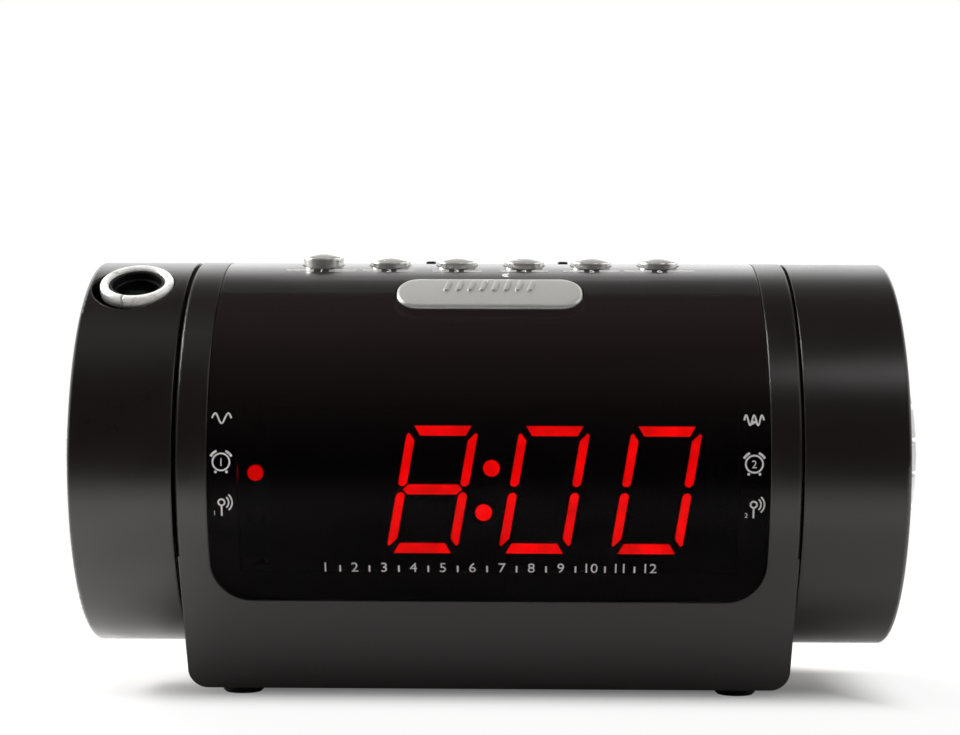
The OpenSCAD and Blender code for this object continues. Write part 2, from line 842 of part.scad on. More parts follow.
module display_board() color("#1f5c34") difference() {
    x = display_boss_x + board_margin;
    z0 = axis_h + display_boss_z[0] - board_margin;
    translate([-x, display_board_y, z0 - board_margin])
        cube([2 * x, board_t, display_boss_z[1] - display_boss_z[0] + 3 * board_margin]);
    for (side = [-1, 1]) for (dz = display_boss_z)
        translate([side * display_boss_x, display_board_y - 1, axis_h + dz])
        rotate([-90, 0, 0]) cylinder(h = board_t + 2, r = small_pilot_r + 0.2);
}

// ---- Base ----

module door_outline(gap) {
    translate([-bay_x + gap, bay_y0 + gap])
        square([2 * (bay_x - gap), bay_len - 2 * gap]);
}

module base_plate() color("#1a1919") {
    difference() {
        union() {
            translate([-plate_x + seat, plate_front() + seat, base_z])
                cube([2 * (plate_x - seat), plate_back() - plate_front() - 2 * seat, plate_t]);
            translate([0, 0, base_z]) linear_extrude(bay_h + door_t + bay_wall)
                offset_box(bay_wall);
            for (x = board_post_xs) for (y = board_post_ys)
                translate([x, y, base_z]) cylinder(h = main_board_z - base_z, r = main_post_r);
            for (side = [-1, 1]) translate([transformer_x + side * core_w / 2.6, transformer_y,
                                            floor_z]) cylinder(h = pad_h, r = main_post_r);
        }
        translate([0, 0, base_z - 1]) linear_extrude(1 + door_t + seat) door_outline(0);
        translate([0, 0, base_z]) linear_extrude(bay_h + door_t) door_outline(door_lap);
        for (side = [-1, 1]) for (y = [case_screw_front, case_screw_back])
            translate([side * case_screw_x, y, base_z - 1]) {
                cylinder(h = plate_t + 2, r = pilot_r + 0.3);
                cylinder(h = 1 + screw_head_h + seat, r = screw_head_r + seat);
            }
        for (x = board_post_xs) for (y = board_post_ys)
            translate([x, y, main_board_z - 8]) cylinder(h = 9, r = small_pilot_r);
        for (sx = [-1, 1]) translate([sx * hook_x - hook_w / 2 - seat,
                                      bay_y0 - hook_len - seat, base_z + hook_up])
            cube([hook_w + 2 * seat, hook_len + 2, 4]);
    }
}

module offset_box(grow) {
    translate([-bay_x - grow, bay_y0 - grow - hook_len])
        square([2 * (bay_x + grow), bay_len + 2 * grow + hook_len]);
}

module battery_door() color("#1a1919") difference() {
    union() {
        translate([0, 0, base_z]) linear_extrude(door_t) door_outline(seat);
        for (sx = [-1, 1]) translate([sx * hook_x - hook_w / 2, bay_y0 - hook_len,
                                      base_z + hook_up + seat])
            cube([hook_w, hook_len + 1, door_t - hook_up - seat]);
    }
    // The front edge is cut back below its hooks, so that the door can swing.
    translate([0, bay_y0, base_z]) rotate([45, 0, 0])
        cube([2 * bay_x + 2, 2, 2], center = true);
    // A finger dip at the rear edge.
    translate([0, bay_y0 + bay_len - 5, base_z - 6.4]) sphere(7.2);
}

module backup_cells() color("#b8b8b0") for (k = [0, 1])
    translate([-cell_len / 2, bay_y0 + bay_len / 2 + (k - 0.5) * (cell_d + cell_gap), cell_z])
        rotate([0, 90, 0]) {
            cylinder(h = cell_len - 1, r = cell_d / 2);
            translate([0, 0, k * 0]) cylinder(h = cell_len, r = 1.9);
        }

module battery_contacts() color("silver") for (k = [0, 1]) for (side = [-1, 1]) {
    y = bay_y0 + bay_len / 2 + (k - 0.5) * (cell_d + cell_gap);
    x = side * (bay_x - door_lap);
    translate([side > 0 ? x - 0.6 : x, y - 4, cell_z - 4]) cube([0.6, 8, 8]);
    translate([side > 0 ? cell_len / 2 + seat : x, y, cell_z]) rotate([0, 90, 0])
        cylinder(h = bay_x - door_lap - cell_len / 2 - seat, r = 1.6);
}

module rubber_feet() color("#141414") for (side = [-1, 1])
    for (y = [front_foot_y(), rear_foot_y()])
        translate([side * foot_x, y, 0]) rotate_extrude()
            polygon([[0, 0], [foot_r - 0.6, 0], [foot_r, 0.6], [foot_r, foot_h], [0, foot_h]]);

function front_foot_y() = plate_front() + foot_r + 1.2;
function rear_foot_y() = plate_back() - foot_r - 1.2;

module main_board() color("#1f5c34") difference() {
    translate([board_x0, board_y0, main_board_z])
        cube([board_x1 - board_x0, board_y1 - board_y0, board_t]);
    for (x = board_post_xs) for (y = board_post_ys)
        translate([x, y, main_board_z - 1]) cylinder(h = board_t + 2, r = small_pilot_r + 0.2);
}

module board_parts() color("#202028") {
    // Reservoir capacitors, a clock chip, a radio chip and their plugs.
    for (p = [[12, 20, 5, 14], [0, 22, 4, 11], [-10, 22, 4, 11]])
        translate([p[0], p[1], board_top]) cylinder(h = p[3], r = p[2]);
    for (p = [[-20, -4, 26, 9], [10, 0, 16, 8]])
        translate([p[0] - p[2] / 2, p[1] - p[3] / 2, board_top]) cube([p[2], p[3], 3.4]);
    for (x = [-48, -36]) translate([x, -12, board_top]) cube([10, 5, 6]);
}

module tuner_can() color("silver") translate([-52, 2, board_top]) difference() {
    cube([24, 18, 9]);
    for (i = [0, 1]) translate([7 + 10 * i, 9, 4]) cylinder(h = 9, r = 2);
}

module transformer_core() color("#5a5a60") difference() {
    union() {
        translate([transformer_x - core_w / 2, transformer_y - core_d / 2, floor_z + pad_h])
            cube([core_w, core_d, core_h]);
    }
    for (side = [-1, 1]) translate([transformer_x + side * core_w * 0.2 - core_w * 0.08,
                                    transformer_y - core_d, floor_z + pad_h + 5])
        cube([core_w * 0.16, 2 * core_d, core_h - 10]);
}

module transformer_winding() color("#b5502a") {
    z0 = floor_z + pad_h + 5 + seat;
    h = core_h - 10 - 2 * seat;
    outer = core_w * 0.28 - seat;
    inner = core_w * 0.12 + seat;
    difference() {
        translate([transformer_x - outer, transformer_y - core_d / 2 - 5, z0])
            cube([2 * outer, core_d + 10, h]);
        translate([transformer_x - inner, transformer_y - core_d / 2 - seat, z0 - 1])
            cube([2 * inner, core_d + 2 * seat, h + 2]);
    }
}

module ferrite_rod() color("#3a3a3e")
    translate([rod_x0, rod_y, axis_h + rod_z]) rotate([0, 90, 0])
        cylinder(h = rod_len, r = rod_r);

module aerial_coil() color("#b5602f")
    translate([coil_x0, rod_y, axis_h + rod_z]) rotate([0, 90, 0]) difference() {
        cylinder(h = coil_len, r = rod_r + coil_t);
        translate([0, 0, -1]) cylinder(h = coil_len + 2, r = rod_r + nest);
    }

module bushing(seat_r, hole_r, out) {
    difference() {
        union() {
            translate([0, 0, -wall - gland_flange]) cylinder(h = wall + gland_flange + out,
                                                              r = seat_r - nest);
            cylinder(h = gland_flange, r = seat_r + gland_flange);
        }
        translate([0, 0, -wall - gland_flange - 1])
            cylinder(h = wall + gland_flange + out + 2, r = hole_r);
    }
}

module cord_gland() color("#141414") on_rear(gland_x, gland_up)
    bushing(gland_seat_r, cord_r, gland_out);
module aerial_grommet() color("#141414") on_rear(grommet_x, gland_up)
    bushing(grommet_seat_r, 0.9, gland_flange);

// ---- End plates and bearing ----

module stop_slot() {
    lo = stop_rest - turn_forward - stop_margin;
    hi = stop_rest + turn_back + stop_margin;
    mid = (lo + hi) / 2;
    intersection() {
        axis_tube(stop_pitch - stop_r - 0.4, stop_pitch + stop_r + 0.4, -end_plate_x1 - 1,
                  1 - end_plate_x0);
        along_x(-half_w, -step_x + 2) {
            wedge(lo, mid);
            wedge(mid - 1, hi);
        }
    }
}

module drum_bearing_plate() color("#1a1919") difference() {
    union() {
        on_axis(-end_plate_x1) cylinder(h = end_plate_x1 - end_plate_x0, r = end_plate_r);
        on_axis(-end_plate_x1) cylinder(h = bearing_len, r = bearing_r + hub_boss);
    }
    on_axis(-end_plate_x1 - 1) cylinder(h = bearing_len + 2, r = bearing_r);
    stop_slot();
}

module friction_washer() color("#3b3b3b")
    axis_tube(bearing_r + 0.4, bearing_r + 8, -drum_x0 + nest, -end_plate_x1 - nest);

module drum_retainer() color("#1a1919") on_axis(-spigot_end) difference() {
    cylinder(h = retainer_t, r = bearing_r + hub_boss - 0.5);
    translate([0, 0, -1]) cylinder(h = retainer_t + 2, r = cable_way_r);
    for (k = [0 : 2]) rotate([0, 0, 120 * k]) translate([hub_screw_pitch, 0, -1])
        cylinder(h = retainer_t + 2, r = pilot_r + 0.2);
}

module drum_hub() color("#1a1919") difference() {
    union() {
        on_axis(-drum_x0 - hub_t) cylinder(h = hub_t, r = hub_r);
        on_axis(-drum_x0 - 0.1) cylinder(h = drum_x0 + 0.1 - spigot_end,
                                         r = bearing_r - running);
        at_angle(stop_rest) translate([-drum_x0 - 0.1, 0, stop_pitch]) rotate([0, 90, 0])
            cylinder(h = drum_x0 - end_plate_x0 - 0.4, r = stop_r);
        at_angle(projector_a, -drum_x0 - hub_t) for (s = cradle_s)
            translate([-cradle_reach, -tube_r - wall, s])
            cube([cradle_reach + 0.1, 2 * (tube_r + wall), cradle_w]);
    }
    on_axis(-drum_x0 - hub_t - 1) cylinder(h = drum_reach, r = cable_way_r);
    at_angle(projector_a, -projector_x) cylinder(h = barrel_r, r = tube_r + nest);
    at_angle(projector_a, -projector_x) for (side = [-1, 1])
        translate([0, side * ear_screw_y, ear_s + ear_w / 2]) rotate([0, 90, 0])
        cylinder(h = barrel_r, r = small_pilot_r);
    for (k = [0 : 2]) on_axis(-spigot_end - 8) rotate([0, 0, 120 * k])
        translate([hub_screw_pitch, 0, 0]) cylinder(h = 9, r = small_pilot_r);
    for (a = drum_boss_a) on_axis(-drum_x0 - hub_t - 1) rotate([0, 0, a])
        translate([drum_boss_pitch, 0, 0]) {
            cylinder(h = hub_t + 2, r = pilot_r + 0.2);
            translate([0, 0, hub_t + 1 - screw_head_h - seat])
                cylinder(h = 3, r = screw_head_r + seat);
        }
}

// A drum's shell: an open tube with a rounded outer edge and a rim for the disc.
module drum_shell(x0) {
    len = drum_end - x0;
    on_axis(x0) difference() {
        rotate_extrude() {
            square([drum_r, len - drum_round]);
            square([drum_r - drum_round, len]);
            translate([drum_r - drum_round, len - drum_round]) circle(drum_round);
        }
        translate([0, 0, -1]) cylinder(h = len + 1 - wall, r = drum_r - wall);
        cylinder(h = len + 1, r = disc_r + seat);
    }
}

module projector_drum() color("#1a1919") {
    difference() {
        mirror([1, 0, 0]) drum_shell(drum_x0);
        at_angle(projector_a, -projector_x) translate([0, 0, barrel_r / 2]) {
            cylinder(h = barrel_r, r = ring_r + 0.35);
            translate([-scoop_x, -scoop_t, 0]) cylinder(h = barrel_r, r = scoop_r);
        }
    }
    for (a = drum_boss_a) on_axis(-drum_end + wall - 0.1) rotate([0, 0, a])
        translate([drum_boss_pitch, 0, 0]) difference() {
            cylinder(h = drum_end - wall + 0.1 - drum_x0 - hub_t, r = drum_boss_r);
            translate([0, 0, 4]) cylinder(h = drum_reach, r = pilot_r);
        }
}

// A domed disc in the rim of a drum, with level slots to a depth, facing +X.
module slotted_disc(depth) {
    edge = drum_end;
    difference() {
        union() {
            on_axis() intersection() {
                translate([0, 0, edge + disc_rise - dome_r]) difference() {
                    sphere(dome_r, $fn = 180);
                    sphere(dome_r - disc_t, $fn = 180);
                }
                translate([0, 0, edge - wall]) cylinder(h = far, r = disc_r);
            }
            axis_tube(disc_r - disc_t, disc_r, edge - wall, edge + 0.3);
            axis_tube(disc_r - disc_t, disc_r + disc_lip, edge, edge + 0.8);
        }
        difference() {
            for (i = [0.5 - rows : rows - 0.5]) disc_slot(i * slot_pitch);
            on_axis(edge + disc_rise - dome_r) sphere(dome_r - depth, $fn = 180);
        }
    }
}

module disc_slot(z) {
    half = sqrt(pow(disc_r - 5, 2) - z * z) - slot_w / 2;
    translate([drum_end - disc_t, 0, axis_h + z]) rotate([0, 90, 0]) linear_extrude(far) {
        square([slot_w, 2 * half], center = true);
        for (e = [-1, 1]) translate([0, e * half]) circle(slot_w / 2);
    }
}

module drum_end_disc() color("#b9b7b2") mirror([1, 0, 0]) slotted_disc(disc_t / 2);
module speaker_grille() color("#b9b7b2") slotted_disc(disc_t + 1);

module grille_cloth() color("#101010") on_axis() intersection() {
    translate([0, 0, drum_end + disc_rise - dome_r]) difference() {
        sphere(dome_r - disc_t - nest, $fn = 180);
        sphere(dome_r - disc_t - nest - 0.5, $fn = 180);
    }
    translate([0, 0, drum_end - wall]) cylinder(h = far, r = disc_r - disc_t - seat);
}

// ---- Projector ----

module projector_place() at_angle(projector_a, -projector_x) children();

module projector_tube() color("#161616") projector_place() {
    difference() {
        translate([0, 0, tube_s0]) cylinder(h = tube_s1 - tube_s0, r = tube_r);
        translate([0, 0, tube_s0 - 1]) cylinder(h = far, r = lens_barrel_r + running);
        translate([0, 0, neck_s - 0.3]) cylinder(h = far, r = neck_r + running);
    }
    // Ledges that hold the time slide and the condenser lens.
    for (s = [tube_s0 + 3, tube_s0 + 8]) translate([0, 0, s]) difference() {
        cylinder(h = 1, r = tube_r - 1);
        translate([0, 0, -1]) cylinder(h = 3, r = optic_r - 0.8);
    }
    // Ears that screw to the hub.
    for (side = [-1, 1]) difference() {
        translate([ear_x, side > 0 ? ear_y0 : -ear_y0 - ear_len, ear_s]) cube([wall, ear_len, ear_w]);
        translate([0, side * ear_screw_y, ear_s + ear_w / 2]) rotate([0, 90, 0])
            cylinder(h = barrel_r, r = pilot_r);
    }
}

// The black grip that turns, with a sleeve that centres its silver trim.
module focus_ring() color("#171717") projector_place() {
    translate([0, 0, neck_s]) ring_tube(neck_r, ring_s0 - neck_s);
    translate([0, 0, ring_s0]) knurled_skirt(skirt_top - ring_s0);
    translate([0, 0, skirt_top]) ring_tube(trim_hole_r - nest, sleeve_top - skirt_top);
}

// The silver trim: a half-round ring with a split, which marks where the ring points.
module ring_trim() color("#b9b7b2") projector_place() difference() {
    translate([0, 0, skirt_top + nest]) rotate_extrude() {
        translate([trim_hole_r, 0]) square([trim_w, trim_h - trim_w / 2]);
        translate([trim_hole_r + trim_w / 2, trim_h - trim_w / 2]) circle(trim_w / 2);
    }
    rotate([0, 0, notch_a]) translate([trim_hole_r - 1, -notch_w / 2, skirt_top])
        cube([ring_r, notch_w, ring_r]);
}

module ring_tube(r, h) {
    difference() {
        cylinder(h = h, r = r);
        translate([0, 0, -1]) cylinder(h = h + 2, r = ring_hole_r);
    }
}

module knurled_skirt(h) {
    difference() {
        linear_extrude(h) polygon([for (i = [0 : 2 * knurls - 1])
            let (r = ring_r - nest - (i % 2) * knurl_depth, a = 180 * i / knurls)
            [r * cos(a), r * sin(a)]]);
        translate([0, 0, -1]) cylinder(h = h + 2, r = ring_hole_r);
    }
}

module lens_barrel() color("#101010") projector_place()
    translate([0, 0, barrel_s0]) difference() {
        cylinder(h = barrel_s1 - barrel_s0, r = lens_barrel_r);
        translate([0, 0, -1]) cylinder(h = far, r = optic_r - 1);
        translate([0, 0, barrel_s1 - barrel_s0 - lens_t - 0.6])
            cylinder(h = far, r = optic_r + nest);
    }

module lens_solid(r, t, bulge) {
    big_r = (r * r + bulge * bulge) / (2 * bulge);
    intersection() {
        cylinder(h = t, r = r);
        translate([0, 0, t - big_r]) sphere(big_r);
        translate([0, 0, big_r]) sphere(big_r);
    }
}

module projector_lens() color([0.7, 0.8, 0.9, 0.5]) projector_place()
    translate([0, 0, barrel_s1 - lens_t - 0.6]) lens_solid(optic_r, lens_t, 1);
module time_slide() color("#303840") projector_place()
    translate([-4, -4, tube_s0 + 9]) cube([8, 8, 1.1]);
module condenser_lens() color([0.7, 0.8, 0.9, 0.5]) projector_place()
    translate([0, 0, tube_s0 + 4]) lens_solid(optic_r, 3, 0.9);

module projector_led() color("#e8e4d8") projector_place() {
    translate([-7, -7, tube_s0 - board_t]) cube([14, 14, board_t]);
    translate([0, 0, tube_s0]) cylinder(h = 1.2, r = 2.5);
    translate([0, 0, tube_s0 + 1]) sphere(1.8);
}

// ---- Loudspeaker drum ----

module speaker_housing() color("#1a1919") {
    drum_shell(speaker_x0);
    on_axis(speaker_x0) difference() {
        cylinder(h = wall, r = drum_r - wall + 0.1);
        translate([0, 0, -1]) cylinder(h = 3 * wall, r = cable_way_r);
    }
    axis_tube(end_hole_r - seat - wall, end_hole_r - seat, half_w - wall, speaker_x0 + 0.1);
    for (k = [0 : 2]) on_axis(half_w - wall) rotate([0, 0, 120 * k])
        translate([plate_screw_pitch, 0, 0]) difference() {
            cylinder(h = speaker_x0 + 0.1 - half_w + wall, r = drum_boss_r);
            translate([0, 0, -1]) cylinder(h = wall + 1, r = pilot_r);
        }
    for (k = [0 : 3]) on_axis(speaker_wall_x - 0.1) rotate([0, 0, 45 + 90 * k])
        translate([speaker_post_pitch, 0, 0]) difference() {
            cylinder(h = cone_front - speaker_wall_x + 0.1, r = 2.8);
            translate([0, 0, 6]) cylinder(h = far, r = small_pilot_r);
        }
}

module speaker_end_plate() color("#1a1919") on_axis(end_plate_x0) difference() {
    cylinder(h = end_plate_x1 - end_plate_x0, r = end_plate_r);
    translate([0, 0, -1]) cylinder(h = 9, r = cable_way_r);
    for (k = [0 : 2]) rotate([0, 0, 120 * k]) translate([plate_screw_pitch, 0, -1])
        cylinder(h = 9, r = pilot_r + 0.2);
}

module speaker_basket() color("silver") on_axis() difference() {
    rotate_extrude() polygon([[flange_r, cone_front], [flange_r, cone_front + flange_t],
        [surround_r - 1, cone_front + flange_t], [surround_r - 2, cone_front - 1],
        [13, basket_back + 1], [8, basket_back + 1], [8, basket_back], [14, basket_back],
        [surround_r - 0.4, cone_front - 1], [surround_r + 0.2, cone_front]]);
    for (k = [0 : 3]) rotate([0, 0, 45 + 90 * k]) translate([speaker_post_pitch, 0, 0])
        cylinder(h = far * 2, r = small_pilot_r + 0.3);
    for (k = [0 : 5]) rotate([0, 0, 60 * k])
        translate([surround_r - 8, 0, basket_back - 1])
        cylinder(h = 8, r = 4.5);
}

module speaker_magnet() color("#26262a") on_axis(speaker_wall_x + 0.3) {
    cylinder(h = basket_back - speaker_wall_x - 0.3, r = magnet_r);
    cylinder(h = basket_back + 2 - speaker_wall_x, r = 6);
}

module speaker_cone() color("#1d1c1b") on_axis() rotate_extrude() {
    polygon([[0, basket_back + 4.5], [6, basket_back + 3.5], [7, basket_back + 2.6],
             [7.6, basket_back + 2.6], [surround_r - 4.5, cone_front + 1.2],
             [surround_r - 2.2, cone_front + 2.6], [surround_r, cone_front + flange_t],
             [cone_r, cone_front + flange_t], [cone_r, cone_front + flange_t + 0.6],
             [surround_r + 0.4, cone_front + flange_t + 0.6],
             [surround_r - 2.2, cone_front + 3.4], [surround_r - 5, cone_front + 2],
             [7.5, basket_back + 3.6],
             [5, basket_back + 5.2], [0, basket_back + 5.8]]);
}

// ---- Fasteners ----

// A pan-head screw that points along +Z, with its head's underside at the origin.
module screw(len, r, head_r, head_h) {
    translate([0, 0, -head_h]) cylinder(h = head_h, r = head_r);
    cylinder(h = len, r = r);
}

module case_screws() color("silver") for (side = [-1, 1])
    for (y = [case_screw_front, case_screw_back])
        translate([side * case_screw_x, y, base_z + screw_head_h + nest])
            screw(11, pilot_r - nest, screw_head_r, screw_head_h);

module board_screws() color("silver") {
    for (x = board_post_xs) for (y = board_post_ys)
        translate([x, y, board_top + nest]) rotate([180, 0, 0])
            screw(7, small_pilot_r - nest, 1.6, 1);
    for (side = [-1, 1]) for (dz = display_boss_z)
        translate([side * display_boss_x, display_board_y + board_t + nest, axis_h + dz])
            rotate([90, 0, 0]) screw(6, small_pilot_r - nest, 1.6, 1);
    for (sx = [-1, 1]) {
        for (sy = [-1, 1]) at_angle(button_a, sx * key_post_x)
            translate([0, sy * key_post_t, key_board_s - nest])
            screw(6, small_pilot_r - nest, 1.6, 1);
        at_angle(snooze_a, sx * snooze_post_x)
            translate([0, key_post_t, snooze_board_s - nest])
            screw(6, small_pilot_r - nest, 1.4, 1);
    }
}

module drum_screws() color("silver") {
    for (k = [0 : 2]) on_axis(-spigot_end + retainer_t + nest) rotate([0, 180, 120 * k + 180])
        translate([hub_screw_pitch, 0, 0]) screw(7, small_pilot_r - nest, 1.8, 1);
    at_angle(projector_a, -projector_x) for (side = [-1, 1])
        translate([ear_x - nest, side * ear_screw_y, ear_s + ear_w / 2]) rotate([0, 90, 0])
        screw(wall + hub_t - 0.2, small_pilot_r - nest, 1.8, 1);
    for (a = drum_boss_a) on_axis(-drum_x0 - screw_head_h) rotate([0, 180, 180 + a])
        translate([drum_boss_pitch, 0, 0]) screw(8, pilot_r - nest, screw_head_r, screw_head_h);
}

module speaker_screws() color("silver") {
    for (k = [0 : 3]) on_axis(cone_front + flange_t + nest) rotate([0, 180, 45 + 90 * k])
        translate([speaker_post_pitch, 0, 0]) screw(7, small_pilot_r - nest, 1.8, 1);
    for (k = [0 : 2]) on_axis(end_plate_x0 - nest) rotate([0, 0, 120 * k])
        translate([plate_screw_pitch, 0, 0]) screw(5, pilot_r - nest, screw_head_r, screw_head_h);
}

front_housing();
rear_housing();
base_plate();
button_panel();
display_window();
drum_bearing_plate();
speaker_end_plate();
projector_drum();
drum_hub();
drum_end_disc();
drum_retainer();
friction_washer();
projector_tube();
focus_ring();
ring_trim();
lens_barrel();
projector_lens();
time_slide();
condenser_lens();
projector_led();
snooze_bar();
projection_button();
alarm_1_button();
alarm_2_button();
minute_button();
hour_button();
time_button();
key_board();
snooze_board();
tact_switches();
latch_switch();
led_display();
lit_segments();
unlit_segments();
alarm_light();
indicator_lights();
display_board();
main_board();
board_parts();
tuner_can();
transformer_core();
transformer_winding();
ferrite_rod();
aerial_coil();
speaker_housing();
speaker_grille();
grille_cloth();
speaker_basket();
speaker_magnet();
speaker_cone();
battery_contacts();
backup_cells();
battery_door();
cord_gland();
aerial_grommet();
rubber_feet();
case_screws();
board_screws();
drum_screws();
speaker_screws();
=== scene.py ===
"""Projection alarm clock radio: a black barrel on a base block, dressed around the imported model."""

import math

import bmesh
import bpy
from mathutils import Matrix, Vector


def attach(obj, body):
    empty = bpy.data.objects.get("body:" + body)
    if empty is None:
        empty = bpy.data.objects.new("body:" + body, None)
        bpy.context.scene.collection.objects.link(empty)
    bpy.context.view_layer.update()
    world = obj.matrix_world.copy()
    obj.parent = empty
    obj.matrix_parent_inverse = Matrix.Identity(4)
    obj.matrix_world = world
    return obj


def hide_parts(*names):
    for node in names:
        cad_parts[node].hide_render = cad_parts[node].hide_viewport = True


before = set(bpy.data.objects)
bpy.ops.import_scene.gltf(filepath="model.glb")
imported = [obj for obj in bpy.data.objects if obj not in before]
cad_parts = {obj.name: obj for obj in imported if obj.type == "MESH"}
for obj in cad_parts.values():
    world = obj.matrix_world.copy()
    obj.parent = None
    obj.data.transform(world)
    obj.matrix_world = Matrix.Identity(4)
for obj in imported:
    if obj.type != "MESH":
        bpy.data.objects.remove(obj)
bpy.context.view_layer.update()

# Cabinet: front and rear housings, base plate, battery door and end plates.
# Black ABS, injection moulded against spark-eroded steel, which leaves a fine satin grain. The
# halves are screwed together from below, through the base plate.
MM = 0.001
AXIS_Z = 59.3 * MM
ABS_GRAIN = 0.18 * MM
MOULD_FLOW = 30 * MM
EDGE_ROUNDING = 0.7 * MM


def linear(hex_colour):
    """Linear RGBA of an sRGB hex colour."""
    channels = [int(hex_colour[i:i + 2], 16) / 255 for i in (1, 3, 5)]
    return [c / 12.92 if c <= 0.04045 else ((c + 0.055) / 1.055) ** 2.4
            for c in channels] + [1.0]


def add(material, kind, inputs=None, **settings):
    """Adds a node with its settings. An input is a value, or an output to link from."""
    tree = material.node_tree
    node = tree.nodes.new("ShaderNode" + kind)
    for name, value in settings.items():
        setattr(node, name, value)
    for name, value in (inputs or {}).items():
        if isinstance(value, bpy.types.NodeSocket):
            tree.links.new(value, node.inputs[name])
        else:
            node.inputs[name].default_value = value
    return node


def surface(name, **inputs):
    """A material with one Principled surface, whose sockets are given by name."""
    material = bpy.data.materials.new(name)
    material.use_nodes = True
    material.node_tree.nodes.clear()
    shader = add(material, "BsdfPrincipled",
                 {key.replace("_", " "): value for key, value in inputs.items()})
    add(material, "OutputMaterial", {"Surface": shader.outputs["BSDF"]})
    return material, shader


def link(material, source, shader, socket):
    """Links an output to a socket of a shader."""
    material.node_tree.links.new(source, shader.inputs[socket])


def cloud(material, size, detail=3.0, roughness=0.6, stretch=None):
    """Noise whose features are about size metres across, in the shared frame."""
    place = add(material, "TexCoord").outputs["Object"]
    if stretch:
        place = add(material, "Mapping", {"Vector": place, "Scale": stretch}).outputs["Vector"]
    return add(material, "TexNoise", {"Vector": place, "Scale": 1 / size, "Detail": detail,
                                      "Roughness": roughness}).outputs["Fac"]


def spread(material, shader, socket, pattern, low, high, start=0.3, stop=0.7):
    """Lets a socket run from low to high as a pattern runs from start to stop."""
    sheen = add(material, "MapRange", {"Value": pattern, "From Min": start, "From Max": stop,
                                       "To Min": low, "To Max": high})
    link(material, sheen.outputs["Result"], shader, socket)


def tint(material, shader, pattern, dark, light, start=0.3, stop=0.7):
    """Blends the base colour between two shades along a pattern."""
    ramp = add(material, "ValToRGB", {"Fac": pattern})
    ramp.color_ramp.elements[0].position = start
    ramp.color_ramp.elements[0].color = linear(dark)
    ramp.color_ramp.elements[1].position = stop
    ramp.color_ramp.elements[1].color = linear(light)
    link(material, ramp.outputs["Color"], shader, "Base Color")


def relief(material, shader, pattern, strength, depth, rounding=EDGE_ROUNDING):
    """Fine relief from a pattern, on top of slightly rounded edges."""
    edge = add(material, "Bevel", {"Radius": rounding}, samples=4)
    bump = add(material, "Bump", {"Height": pattern, "Strength": strength, "Distance": depth,
                                  "Normal": edge.outputs["Normal"]})
    link(material, bump.outputs["Normal"], shader, "Normal")


def finish(material, *nodes):
    """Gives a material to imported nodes."""
    for node in nodes:
        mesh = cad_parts[node].data
        mesh.materials.clear()
        mesh.materials.append(material)


def moulded_abs(name, dark, light, rough, grain=ABS_GRAIN, depth=0.1):
    """Black ABS with a spark-eroded grain: dark, with a wide soft sheen."""
    material, shader = surface(name, Base_Color=linear(dark), IOR=1.53, Roughness=rough)
    tint(material, shader, cloud(material, MOULD_FLOW, 4.0), dark, light)
    spread(material, shader, "Roughness", cloud(material, MOULD_FLOW, 4.0),
           rough - 0.03, rough + 0.04)
    relief(material, shader, cloud(material, grain), depth, 0.02 * MM)
    return material


black_abs = moulded_abs("moulded_black_abs", "#15100f", "#191413", 0.30)
finish(black_abs, "front_housing", "rear_housing", "base_plate", "battery_door",
       "speaker_end_plate")

# Button panel.
# The same ABS in a coarser grain, so it looks a shade greyer than the hoops beside it. It
# carries a white screen print: a number with a rule on each side before every key, and a moon
# behind the snooze bar.
PANEL_R = 48.1 * MM
FLAT_A = -29
PRINT_RISE = 0.03 * MM
PRINT_SUNK = 0.05 * MM
KEY_PITCH = 16.86 * MM
KEY_COUNT = 6
LABEL_A = 71.8
LABEL_H = 2.3 * MM
LABEL_LENGTHS = (17.5, 13, 12.5, 12, 14, 17.5)
RULE_W = 0.45 * MM
RULE_FROM = 1.9 * MM
RULE_GAP = 1.1 * MM
MOON_A = 67.6
MOON_X = 4.2 * MM
MOON_R = 1.3 * MM
MOON_HOLLOW_R = 1.45 * MM
MOON_HOLLOW_OUT = 1.55 * MM

panel_abs = moulded_abs("grained_panel_abs", "#1b1717", "#201c1c", 0.22, 0.3 * MM, 0.14)
finish(panel_abs, "button_panel")


def on_barrel(x, angle, u=0.0, v=0.0, rise=0.0):
    """The point u across and v up from where angle meets the barrel at x.

    Below FLAT_A the barrel runs on straight, down to the base.
    """
    turn = math.radians(angle) + v / PANEL_R
    flat = min(0.0, turn - math.radians(FLAT_A)) * PANEL_R
    turn = max(turn, math.radians(FLAT_A))
    reach = PANEL_R + rise
    return Vector((x + u, -reach * math.cos(turn) + flat * math.sin(turn),
                   AXIS_Z + reach * math.sin(turn) + flat * math.cos(turn)))


def print_loops(mesh, x, angle, loops):
    """Adds one flat printed shape to a mesh: an outline, or an outer and an inner one."""
    levels = []
    for rise in (-PRINT_SUNK, PRINT_RISE):
        levels.append([[mesh.verts.new(on_barrel(x, angle, u, v, rise)) for u, v in loop]
                       for loop in loops])
    for low, high in zip(*levels):
        count = len(low)
        for i in range(count):
            mesh.faces.new((low[i], low[(i + 1) % count], high[(i + 1) % count], high[i]))
    for level in levels:
        if len(loops) == 1:
            mesh.faces.new(level[0])
        else:
            outer, inner = level
            count = len(outer)
            for i in range(count):
                mesh.faces.new((outer[i], outer[(i + 1) % count], inner[(i + 1) % count],
                                inner[i]))


def stroke(points, width):
    """The outline of a line of some width through points."""
    left, right = [], []
    for i, (u, v) in enumerate(points):
        before = points[max(i - 1, 0)]
        after = points[min(i + 1, len(points) - 1)]
        du, dv = after[0] - before[0], after[1] - before[1]
        length = math.hypot(du, dv)
        nu, nv = -dv / length * width / 2, du / length * width / 2
        left.append((u + nu, v + nv))
        right.append((u - nu, v - nv))
    return left + right[::-1]


